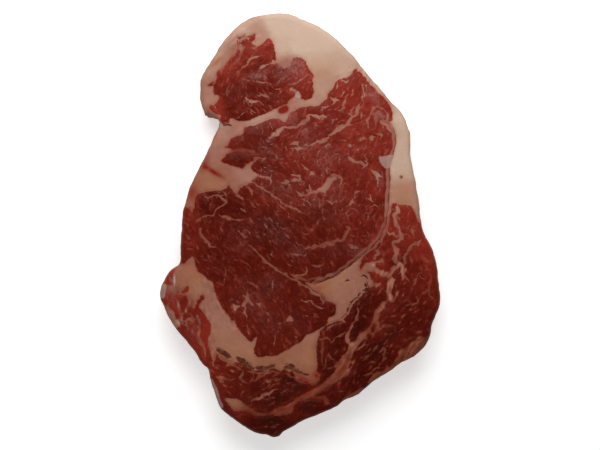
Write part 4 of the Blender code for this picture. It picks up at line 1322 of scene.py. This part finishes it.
@dataclass
class Slab:
    """The steak's body, built to the CAD solid's outline and thickness, in millimetres."""

    node: bpy.types.Object
    thickness: float
    outline_level: float = 0.3
    ring_spacing: float = 0.85
    top_spacing: float = 0.60
    under_spacing: float = 1.7
    clearance: float = 0.55
    inset_step: float = 0.14
    inset_ease: float = 0.85
    inset_spare: float = 1.0
    cut_level: float = 0.7
    under_rise: float = 0.09
    under_period: float = 6.0
    wall: Wall = field(default_factory=Wall)
    relief: Relief = field(default_factory=Relief)
    layout: Layout = field(default_factory=Layout)

    def __post_init__(self) -> None:
        """Take the outline from the solid and draw it in, ring by ring."""
        ring = ring_at_height(self.node, self.outline_level * self.thickness * MM)
        self.edge = evenly_spaced(smooth_line(ring, closed=True, pieces=4), self.ring_spacing)
        steps = round((max(self.wall.rim_in, self.wall.foot) + self.inset_spare) / self.inset_step)
        rings = [self.edge]
        for _ in range(steps):
            ring = rings[-1] - self.inset_step * outward(rings[-1])
            middle = (np.roll(ring, 1, axis=0) + np.roll(ring, -1, axis=0)) / 2
            rings.append(ring + self.inset_ease * (middle - ring))
        self.rings = np.stack(rings)
        self.pattern = Pattern(self.edge)
        self.top_level = self.thickness - self.cut_level

    def drawn_in(self, depths: Array) -> Array:
        """Draw the outline in.

        Args:
            depths: How far in each of its points goes, or out if negative.

        Returns:
            The new points, one row each.
        """
        place = np.clip(depths, 0.0, None) / self.inset_step
        low = np.minimum(place.astype(int), len(self.rings) - 2)
        share = (place - low)[:, None]
        column = np.arange(len(self.edge))
        drawn = (1 - share) * self.rings[low, column] + share * self.rings[low + 1, column]
        return drawn + np.clip(-depths, 0.0, None)[:, None] * outward(self.edge)

    def hex_points(self, ring: Array, spacing: float) -> Array:
        """Fill a ring with a triangular grid of points.

        Args:
            ring: The ring's points, one row each.
            spacing: The distance between the grid's points.

        Returns:
            The points inside the ring and clear of it, one row each.
        """
        low, high = ring.min(axis=0), ring.max(axis=0)
        rows = np.arange(low[1], high[1], spacing * math.sqrt(0.75))
        columns = np.arange(low[0], high[0], spacing)
        across, up = np.meshgrid(columns, rows)
        across = across + spacing / 2 * (np.arange(len(rows)) % 2)[:, None]
        grid = np.stack((across.ravel(), up.ravel()), axis=1)
        return grid[depth_inside(grid, ring) > self.clearance * spacing]

    def wall_rings(self, profile: list[Spot]) -> list[Array]:
        """Draw the side's rings.

        Args:
            profile: The side's rows, from the foot to the rim.

        Returns:
            The places of each row's points, seen from above.
        """
        wall = self.wall
        rings = []
        for index, (height, depth, _) in enumerate(profile):
            level = np.full(len(self.edge), height + wall.tear_slant * depth)
            torn = wall.tears(np.column_stack((self.edge, level)))
            torn *= 1.0 if index < len(profile) - wall.calm_rows else wall.calm
            if index == 0:
                torn[:] = 0.0
            rings.append(self.drawn_in(depth + torn + wall.inset))
        return rings

    def build(self, name: str) -> bpy.types.Object:
        """Make the steak's mesh, with its pattern stored on it.

        Args:
            name: The new object's name.

        Returns:
            The new object.
        """
        profile = self.wall.profile(self.top_level)
        rings = self.wall_rings(profile)
        top_in = self.hex_points(rings[-1], self.top_spacing)
        under_in = self.hex_points(rings[0], self.under_spacing)
        rows = profile + [(self.top_level - self.wall.rim_drop, 0.0, 1.0), (0.0, 0.0, 0.0)]
        counts = [len(self.edge)] * len(profile) + [len(top_in), len(under_in)]
        places = np.vstack((*rings, top_in, under_in))
        base, _, rim = np.repeat(rows, counts, axis=0).T

        depths = 1.0 - (base + rim * self.wall.rim_drop) / self.top_level
        values = self.pattern.read(self.pattern.through(places, depths))
        values["depth"] = depths
        heights = base + rim * (self.wall.rim_drop + self.relief.height(places, values))
        under_noise = value_noise(under_in, self.under_period, Seed.UNDER)
        heights[len(places) - len(under_in):] += self.under_rise * (1.0 + under_noise)

        mesh = self.mesh_from(name, np.column_stack((places, heights)) * MM, rings, top_in, under_in)
        for key, numbers in values.items():
            attribute = mesh.attributes.new(key, "FLOAT", "POINT")
            attribute.data.foreach_set("value", numbers.astype(np.float32))
        steak = bpy.data.objects.new(name, mesh)
        bpy.context.scene.collection.objects.link(steak)
        return steak

    def mesh_from(self, name: str, corners: Array, rings: list[Array], top_in: Array,
                  under_in: Array) -> bpy.types.Mesh:
        """Join the points into a smooth-shaded mesh and lay its faces out flat.

        Args:
            name: The mesh's name.
            corners: All its points, in metres, in the order of the next three.
            rings: The side's rings, from the foot to the rim.
            top_in: The upper face's points.
            under_in: The underside's points.

        Returns:
            The new mesh.
        """
        around = len(self.edge)
        last_ring = (len(rings) - 1) * around
        here = np.arange(last_ring)
        after = here + np.where((here + 1) % around, 1, 1 - around)
        side = np.stack((here, after, after + around, here + around), axis=1)
        top = fill_ring(rings[-1], top_in) + last_ring
        under = fill_ring(rings[0], under_in)
        under = np.where(under < around, under, under + last_ring + len(top_in))[:, ::-1]
        mesh = bpy.data.meshes.new(name)
        mesh.from_pydata(corners.tolist(), [], [*side.tolist(), *top.tolist(), *under.tolist()])
        mesh.polygons.foreach_set("use_smooth", [True] * len(mesh.polygons))
        mesh.validate()
        loops = np.concatenate((side.ravel(), top.ravel(), under.ravel()))
        sheet = self.layout.spread(corners, loops, side.size, top.size, around, self.ring_spacing * MM)
        mesh.uv_layers.new(name="OFBake").data.foreach_set("uv", sheet.astype(np.float32).ravel())
        return mesh


# Finishes

@dataclass(frozen=True)
class Noise:
    """A noise: its bumps' size in millimetres, its finer layers, their strength and its twist."""

    period: float
    detail: float = 2.0
    rough: float = 0.5
    twist: float = 0.0


BROAD = Noise(7.0)
PATCHY = Noise(2.6, 3.0, 0.6)
SWIRL = Noise(4.2, 4.0, 0.65, 1.6)
FINE = Noise(0.9, 3.0, 0.6)
GRAINY = Noise(0.42, 2.0, 0.6)
SIDE_FRAY = Noise(10.0)
WIDE_FRAY = Noise(3.2)
CLOSE_FRAY = Noise(1.2, 3.0, 0.65, 0.6)
FIBRE_PERIOD = 1.25


class Term:
    """One value in a material's graph. Arithmetic on terms adds nodes."""

    def __init__(self, graph: "Graph", socket: bpy.types.NodeSocket) -> None:
        """Wrap an output socket of a graph's node."""
        self.graph = graph
        self.socket = socket

    def math(self, operation: str, *others: Any) -> "Term":
        """Return this term combined with others by one Math node."""
        values = dict(enumerate((self, *others)))
        return self.graph.node("ShaderNodeMath", {"operation": operation}, values)

    def __add__(self, other: Any) -> "Term":
        """Return the sum."""
        return self.math("ADD", other)

    def __sub__(self, other: Any) -> "Term":
        """Return the difference."""
        return self.math("SUBTRACT", other)

    def __rsub__(self, other: float) -> "Term":
        """Return a number less this term."""
        return (self * -1.0) + other

    def __mul__(self, other: Any) -> "Term":
        """Return the product."""
        return self.math("MULTIPLY", other)

    __radd__ = __add__
    __rmul__ = __mul__

    def __abs__(self) -> "Term":
        """Return this term's size."""
        return self.math("ABSOLUTE")

    def most(self, other: Any) -> "Term":
        """Return the larger of this term and another."""
        return self.math("MAXIMUM", other)

    def step(self, low: Any, high: Any) -> "Term":
        """Return a soft step: 0 at low, 1 at high. High may be below low."""
        return self.graph.node("ShaderNodeMapRange", {"interpolation_type": "SMOOTHSTEP"},
                               {0: self, 1: low, 2: high, 3: 0.0, 4: 1.0})

    def clamped(self) -> "Term":
        """Return this term kept between 0 and 1."""
        return self.graph.node("ShaderNodeClamp", {}, {0: self, 1: 0.0, 2: 1.0})


class Graph:
    """A material's node graph, written as arithmetic."""

    def __init__(self, name: str) -> None:
        """Start a material with its Principled shader.

        Args:
            name: The material's name.
        """
        self.material = bpy.data.materials.new(name)
        self.material.use_nodes = True
        self.tree = self.material.node_tree
        self.surface = self.tree.nodes["Principled BSDF"]

    def feed(self, socket: bpy.types.NodeSocket, value: Any) -> None:
        """Link a term to a socket, or set the socket to a constant.

        Args:
            socket: The input socket.
            value: The term or the constant.
        """
        if isinstance(value, Term):
            self.tree.links.new(value.socket, socket)
        else:
            socket.default_value = value

    def feed_surface(self, values: dict[str, Any]) -> None:
        """Feed the shader's inputs, each named with its term or constant."""
        for key, value in values.items():
            self.feed(self.surface.inputs[key], value)

    def node(self, kind: str, settings: dict[str, Any], values: dict[Any, Any], output: int = 0) -> Term:
        """Add one node.

        Args:
            kind: The node's type.
            settings: Its own settings, such as a ramp's stops, set first.
            values: What its inputs get, by name or number.
            output: Which output to return.

        Returns:
            The chosen output.
        """
        made = self.tree.nodes.new(kind)
        for key, value in settings.items():
            if key == "stops":
                self.set_stops(made.color_ramp, value)
            else:
                setattr(made, key, value)
        for key, value in values.items():
            self.feed(made.inputs[key], value)
        return Term(self, made.outputs[output])

    def attribute(self, name: str) -> Term:
        """Return a value stored on the mesh."""
        return self.node("ShaderNodeAttribute", {"attribute_name": name}, {}, output=2)

    def place(self) -> Term:
        """Return the place on the piece, in millimetres."""
        return self.scaled(self.node("ShaderNodeTexCoord", {}, {}, output=3), 1.0 / MM)

    def scaled(self, value: Term, by: Any) -> Term:
        """Return a place or a colour multiplied by one number."""
        return self.node("ShaderNodeVectorMath", {"operation": "SCALE"}, {0: value, 3: by})

    def noise(self, place: Term, noise: Noise) -> Term:
        """Add noise.

        Args:
            place: Where the noise is read, in millimetres.
            noise: Its bumps.

        Returns:
            The noise, from about -0.5 to 0.5.
        """
        values = {"Vector": place, "Scale": 1.0 / noise.period, "Detail": noise.detail,
                  "Roughness": noise.rough, "Distortion": noise.twist}
        return self.node("ShaderNodeTexNoise", {}, values) - 0.5

    def cell_edges(self, place: Term, period: float) -> Term:
        """Return the distance to the borders of cells one period wide."""
        return self.node("ShaderNodeTexVoronoi", {"feature": "DISTANCE_TO_EDGE"},
                         {"Vector": place, "Scale": 1.0 / period})

    def colour(self, value: Colour) -> tuple[float, float, float, float]:
        """Return a colour as a colour socket takes it."""
        return (*value, 1.0)

    def mix(self, share: Any, first: Term, second: Term | Colour) -> Term:
        """Mix two colours.

        Args:
            share: How much of the second there is.
            first: The first colour.
            second: The second colour, a term or three numbers.

        Returns:
            The mixed colour.
        """
        added = second if isinstance(second, Term) else self.colour(second)
        settings = {"data_type": "RGBA", "blend_type": "MIX", "clamp_factor": True}
        return self.node("ShaderNodeMix", settings, {0: share, 6: first, 7: added}, output=2)

    def set_stops(self, ramp: bpy.types.ColorRamp, stops: Stops) -> None:
        """Give a colour ramp its stops.

        Args:
            ramp: The ramp.
            stops: Where its colours lie, from 0 to 1, and the colours.
        """
        while len(ramp.elements) < len(stops):
            ramp.elements.new(0.5)
        for element, (position, colour) in zip(ramp.elements, stops):
            element.position = position
            element.color = self.colour(colour)

    def ramp(self, value: Term, stops: Stops) -> Term:
        """Return the colour that stops give to a value from 0 to 1."""
        return self.node("ShaderNodeValToRGB", {"stops": stops}, {0: value})


# In steps the numbers are levels or millimetres. Elsewhere they say how strong each part is.

class Cut:
    """What the finish reads: the mesh's stored values, noises, and where each tissue lies."""

    STORED = ("fat_depth", "skin_depth", "bruise_depth", "vein_across", "vein_gap", "vein_strength",
              "seam_across", "seam_gap", "seam_strength", "strand", "lean_light", "fat_pale", "depth")

    def __init__(self, graph: Graph) -> None:
        """Read the stored values and noises, and find the side, the fat, the film and the bruise.

        Args:
            graph: The material's graph.
        """
        self.graph = graph
        stained = tuple(kind.value for kind in Stained)
        self.read = {key: graph.attribute(key) for key in self.STORED + stained}
        self.place = graph.place()
        self.broad, self.patchy, self.swirl, self.fine, self.grain = (
            graph.noise(self.place, noise) for noise in (BROAD, PATCHY, SWIRL, FINE, GRAINY))
        self.outer = self["depth"].step(0.02, 0.30)
        self.rim = self["depth"].step(0.0, 0.09)
        self.combed = self["strand"] * self["feather"]
        edge = self["fat_depth"] + 1.1 * graph.noise(self.place, WIDE_FRAY)
        edge = edge + 1.5 * graph.noise(self.place, CLOSE_FRAY) + 0.9 * self.combed
        self.edge = edge + 9.0 * self.outer * graph.noise(self.place, SIDE_FRAY)
        self.fat = self.edge.step(-0.16, 0.24 + 0.5 * self["feather"])
        rough_edge = 1.2 * self.fine + 0.7 * self.patchy
        self.film = (self["skin_depth"] + 0.7 * rough_edge).step(-0.2, 0.4) * (1.0 - 0.85 * self.outer)
        bruise = (self["bruise_depth"] + 1.3 * rough_edge).step(-0.2, 0.4) * self.mottled(0.85, 1.6, 0.9)
        self.bruise = bruise.clamped() * (1.0 - self.outer)
        self.thread = self.marbling()

    def __getitem__(self, key: str) -> Term:
        """Return one of the mesh's stored values."""
        return self.read[key]

    def mottled(self, level: float, patchy: float, fine: float = 0.0) -> Term:
        """Return a level with two of the noises added, each times its number."""
        total = level + patchy * self.patchy if patchy else level
        return total + fine * self.fine if fine else total

    def uneven(self, key: str, level: float, patchy: float, fine: float = 0.0) -> Term:
        """Return a stored value times a mottled level, from 0 to 1."""
        return (self[key] * self.mottled(level, patchy, fine)).clamped()

    def marbling(self) -> Term:
        """Find the veins and the wisps along the strands.

        Returns:
            How much of the place is a thread of fat, from 0 to 1.
        """
        wobble = abs(self["vein_across"] + 1.3 * self.fine + self.grain) - 2.2 * self.patchy
        vein = wobble.step(1.45, 0.68) * (self["vein_gap"] - 0.5 * self.patchy).step(0.45, 0.05)
        wisp = (self["strand"] + 1.2 * self.patchy).step(0.60, 1.15) * (0.12 + 0.36 * self["feather"])
        return (vein * self.uneven("vein_strength", 1.05, 0.0, 1.2)).most(wisp)


@dataclass(frozen=True)
class MeatFinish:
    """Raw beef: deep red lean, pinkish cream fat, thin silverskin and a moist surface."""

    lean: Stops = (
        (0.0, (0.062, 0.0035, 0.0013)), (0.5, (0.146, 0.0120, 0.0055)), (1.0, (0.280, 0.026, 0.0140)))
    fat: Stops = (
        (0.0, (0.152, 0.018, 0.009)), (0.25, (0.262, 0.068, 0.040)), (0.5, (0.382, 0.168, 0.118)),
        (0.75, (0.475, 0.265, 0.190)), (1.0, (0.610, 0.435, 0.325)))
    orange: Colour = (0.44, 0.18, 0.085)
    flush: Colour = (0.225, 0.008, 0.004)
    # painted sheen colour: a whitish reflection of the soft light, laid into the base colour
    haze: Colour = (0.42, 0.29, 0.26)
    film: Colour = (0.44, 0.31, 0.27)
    bruise: Colour = (0.098, 0.022, 0.012)
    tan: Colour = (0.185, 0.048, 0.022)
    brown: Colour = (0.034, 0.0060, 0.0036)
    dried: Colour = (0.300, 0.130, 0.080)
    shine: Colour = (0.85, 0.66, 0.56)
    # painted highlight colour for the white glints and the ridge line
    seam: Colour = (0.090, 0.014, 0.008)
    # painted shade: the dark line along the seams stands in for the shadow in their gap
    silver: Colour = (0.41, 0.165, 0.118)
    coat_roughness: float = 0.12
    coat_bend: float = 1.35
    mirror: float = 0.04
    glow: float = 0.06
    glow_spread: Colour = (1.0, 0.35, 0.2)
    glow_depth: float = 0.9
    bump: float = 0.8

    def build(self, name: str) -> bpy.types.Material:
        """Make the material.

        Args:
            name: The material's name.

        Returns:
            The new material.
        """
        graph = Graph(name)
        cut = Cut(graph)
        colour = graph.mix(cut.fat.most(cut.thread * 0.92), self.lean_colour(cut), self.fat_colour(cut))
        colour = graph.mix(cut.uneven("flush", 1.15, 1.2) * (1.0 - 0.7 * cut.outer), colour, self.flush)
        colour = self.seamed(cut, colour)
        painted_sheen_share = (cut["haze"] * (0.7 + 2.6 * cut.swirl + 2.8 * cut.fine)).clamped()
        dried = cut.outer * (0.45 + 1.1 * cut.broad + 0.4 * cut.patchy).clamped()
        for share, laid in (
                (cut.bruise, self.bruise),
                # painted sheen over the lean, broken up by noise
                (painted_sheen_share * 0.24, self.haze),
                ((cut.film * cut.mottled(0.62, 0.5)).clamped(), self.film),
                (dried, self.dried),
                (cut.rim * (0.35 - 0.35 * cut.outer), self.dried),
                # painted highlights
                (cut.uneven("shine", 1.0, 0.0, 1.0) * 0.85, self.shine)):
            colour = graph.mix(share, colour, laid)
        fleshy = 0.16 * cut.patchy + 0.10 * cut.swirl + 0.02 * cut["strand"]
        height = 0.10 * cut.fine + 0.04 * cut.grain + fleshy * (1.0 - 0.7 * cut.fat)
        rough = 0.34 + 0.12 * cut.fat + 0.25 * cut.patchy - 0.06 * cut.film + 0.3 * cut.rim
        glint = (cut.fine + 0.5 * cut.patchy).step(0.13, 0.24) * (1.0 - 0.6 * cut.fat)
        bumps = {"Strength": self.bump, "Distance": MM, "Height": height}
        graph.feed_surface({
            "Base Color": colour,
            "Roughness": rough.clamped(),
            "Normal": graph.node("ShaderNodeBump", {}, bumps),
            "Coat Weight": (0.015 + 0.6 * glint) * (1.0 - cut.rim),
            "Coat Roughness": self.coat_roughness,
            "Coat IOR": self.coat_bend,
            "Specular IOR Level": self.mirror,
            "Subsurface Weight": self.glow,
            "Subsurface Radius": self.glow_spread,
            "Subsurface Scale": self.glow_depth * MM,
        })
        return graph.material

    def lean_colour(self, cut: Cut) -> Term:
        """Colour the lean.

        Args:
            cut: What the finish reads.

        Returns:
            The lean's colour.
        """
        light = cut["lean_light"] + 0.42 * cut.broad + 0.56 * cut.swirl
        light = light + 0.20 * cut["strand"].most(-0.1) + 0.08 * cut.edge.step(-2.2, -0.2)
        lean = cut.graph.ramp(light.clamped(), self.lean)
        lean = cut.graph.mix(cut.uneven("brown", 1.0, 1.4) * 0.8, lean, self.brown)
        fibres = cut.graph.cell_edges(cut.place, FIBRE_PERIOD).step(0.0, 0.22)
        return cut.graph.scaled(lean, 1.0 + 0.80 * cut.fine + 0.50 * cut.grain - 0.08 * fibres)

    def fat_colour(self, cut: Cut) -> Term:
        """Colour the fat.

        Args:
            cut: What the finish reads.

        Returns:
            The fat's colour.
        """
        pale = cut["fat_pale"] + (1.3 - cut["fat_pale"]) * (0.20 * cut.broad + 0.13 * cut.patchy)
        pale = pale + 0.05 * cut.fine - 0.10 * cut.edge.step(1.6, 0.0) * cut.fat
        pale = pale + 0.12 * cut.thread * cut.fat - 0.06 * (1.0 - cut.fat) + 0.07 * cut.combed
        colour = cut.graph.ramp(pale.clamped(), self.fat)
        colour = cut.graph.mix(cut["orange"] * 0.6, colour, self.orange)
        colour = cut.graph.mix(cut.uneven("tan", 1.0, 1.2) * 0.9, colour, self.tan)
        return cut.graph.scaled(colour, cut.mottled(1.0, 0.08, 0.10) + 0.30 * cut.combed)

    def seamed(self, cut: Cut, colour: Term) -> Term:
        """Add the seams: a silvery band round the strong ones and a dark line of painted shade in them all.

        Args:
            cut: What the finish reads.
            colour: The colour so far.

        Returns:
            The new colour.
        """
        banded = cut["seam_strength"].step(0.85, 0.95)
        silver = (cut["seam_gap"] + 0.6 * cut.fine).step(1.55, 1.0) * banded * cut.mottled(0.95, 0.8)
        colour = cut.graph.mix(silver.clamped() * (0.78 - 0.7 * cut.fat), colour, self.silver)
        # painted shade along the middle of each seam, for its gap
        dark = abs(cut["seam_across"] + 0.8 * cut.fine).step(1.3, 0.4) * cut["seam_gap"].step(0.4, 0.05)
        broken = (cut.mottled(0.45, 4.0, 3.2) * (1.0 - banded) + 0.53) * cut["seam_strength"]
        return cut.graph.mix((dark * broken).step(0.20, 0.75), colour, self.seam)


# The studio

@dataclass(frozen=True)
class Softbox:
    """A square area light that faces the steak: its place and side in metres, its power in watts."""

    name: str
    place: Spot
    side: float
    power: float

    def build(self) -> None:
        """Hang the light."""
        lamp = bpy.data.lights.new(self.name, "AREA")
        lamp.size = self.side
        lamp.energy = self.power
        softbox = bpy.data.objects.new(self.name, lamp)
        softbox.location = self.place
        softbox.rotation_euler = Vector(self.place).to_track_quat("Z", "Y").to_euler()
        bpy.context.scene.collection.objects.link(softbox)


@dataclass
class Studio:
    """A pale floor, a soft light from the fat cap's side, a weak one opposite, and a camera above."""

    lens: float = 85.0
    view_width: float = 0.300
    view_level: float = 0.0145
    floor_size: float = 4.0
    floor_tone: Colour = (0.93, 0.93, 0.93)
    floor_glow: float = 0.52
    floor_roughness: float = 0.9
    floor_mirror: float = 0.1
    softboxes: tuple[Softbox, ...] = (Softbox("softbox", (0.0, 0.32, 0.38), 0.42, 2.55),
                                      Softbox("fill", (-0.12, -0.42, 0.40), 0.5, 0.65))
    sky_tone: Colour = (1.0, 1.0, 1.0)
    sky_power: float = 0.075

    def build(self) -> bpy.types.Object:
        """Make the camera, the lights, the sky and the floor.

        Returns:
            The floor.
        """
        self.make_camera()
        for softbox in self.softboxes:
            softbox.build()
        self.make_sky()
        bpy.context.scene.view_settings.view_transform = "Standard"
        return self.make_floor()

    def make_floor(self) -> bpy.types.Object:
        """Make a large pale floor at the height the steak lies on.

        Returns:
            The floor.
        """
        half = self.floor_size / 2
        mesh = bpy.data.meshes.new("floor")
        mesh.from_pydata([(-half, -half, 0), (half, -half, 0), (half, half, 0), (-half, half, 0)], [],
                         [(0, 1, 2, 3)])
        floor = bpy.data.objects.new("floor", mesh)
        bpy.context.scene.collection.objects.link(floor)
        graph = Graph("pale_floor")
        tone = graph.colour(self.floor_tone)
        graph.feed_surface({"Base Color": tone, "Roughness": self.floor_roughness,
                            "Specular IOR Level": self.floor_mirror, "Emission Color": tone,
                            "Emission Strength": self.floor_glow})
        mesh.materials.append(graph.material)
        return floor

    def make_sky(self) -> None:
        """Make the pale surroundings."""
        world = bpy.data.worlds.new("surroundings")
        world.use_nodes = True
        sky = world.node_tree.nodes["Background"]
        sky.inputs["Color"].default_value = (*self.sky_tone, 1.0)
        sky.inputs["Strength"].default_value = self.sky_power
        bpy.context.scene.world = world

    def make_camera(self) -> None:
        """Make the camera straight above the steak, with +Y upwards in its view."""
        lens = bpy.data.cameras.new("camera")
        lens.lens = self.lens
        distance = self.view_width * self.lens / lens.sensor_width
        camera = bpy.data.objects.new("camera", lens)
        camera.location = (0.0, 0.0, self.view_level + distance)
        bpy.context.scene.collection.objects.link(camera)
        bpy.context.scene.camera = camera


def main() -> None:
    """Build the steak and the studio round it."""
    logging.basicConfig(level=logging.INFO, format="%(name)s: %(message)s")
    low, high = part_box(STEAK_NODE)
    slab = Slab(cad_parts[STEAK_NODE], thickness=(high.z - low.z) / MM)
    steak = slab.build("steak")
    steak.data.materials.append(MeatFinish().build("raw_beef"))
    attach(steak, "root")
    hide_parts(STEAK_NODE)
    log.info("%s: %d faces", steak.name, len(steak.data.polygons))
    floor = Studio().build()
    log.info("%s: stage", floor.name)


if __name__ == "__main__":
    main()
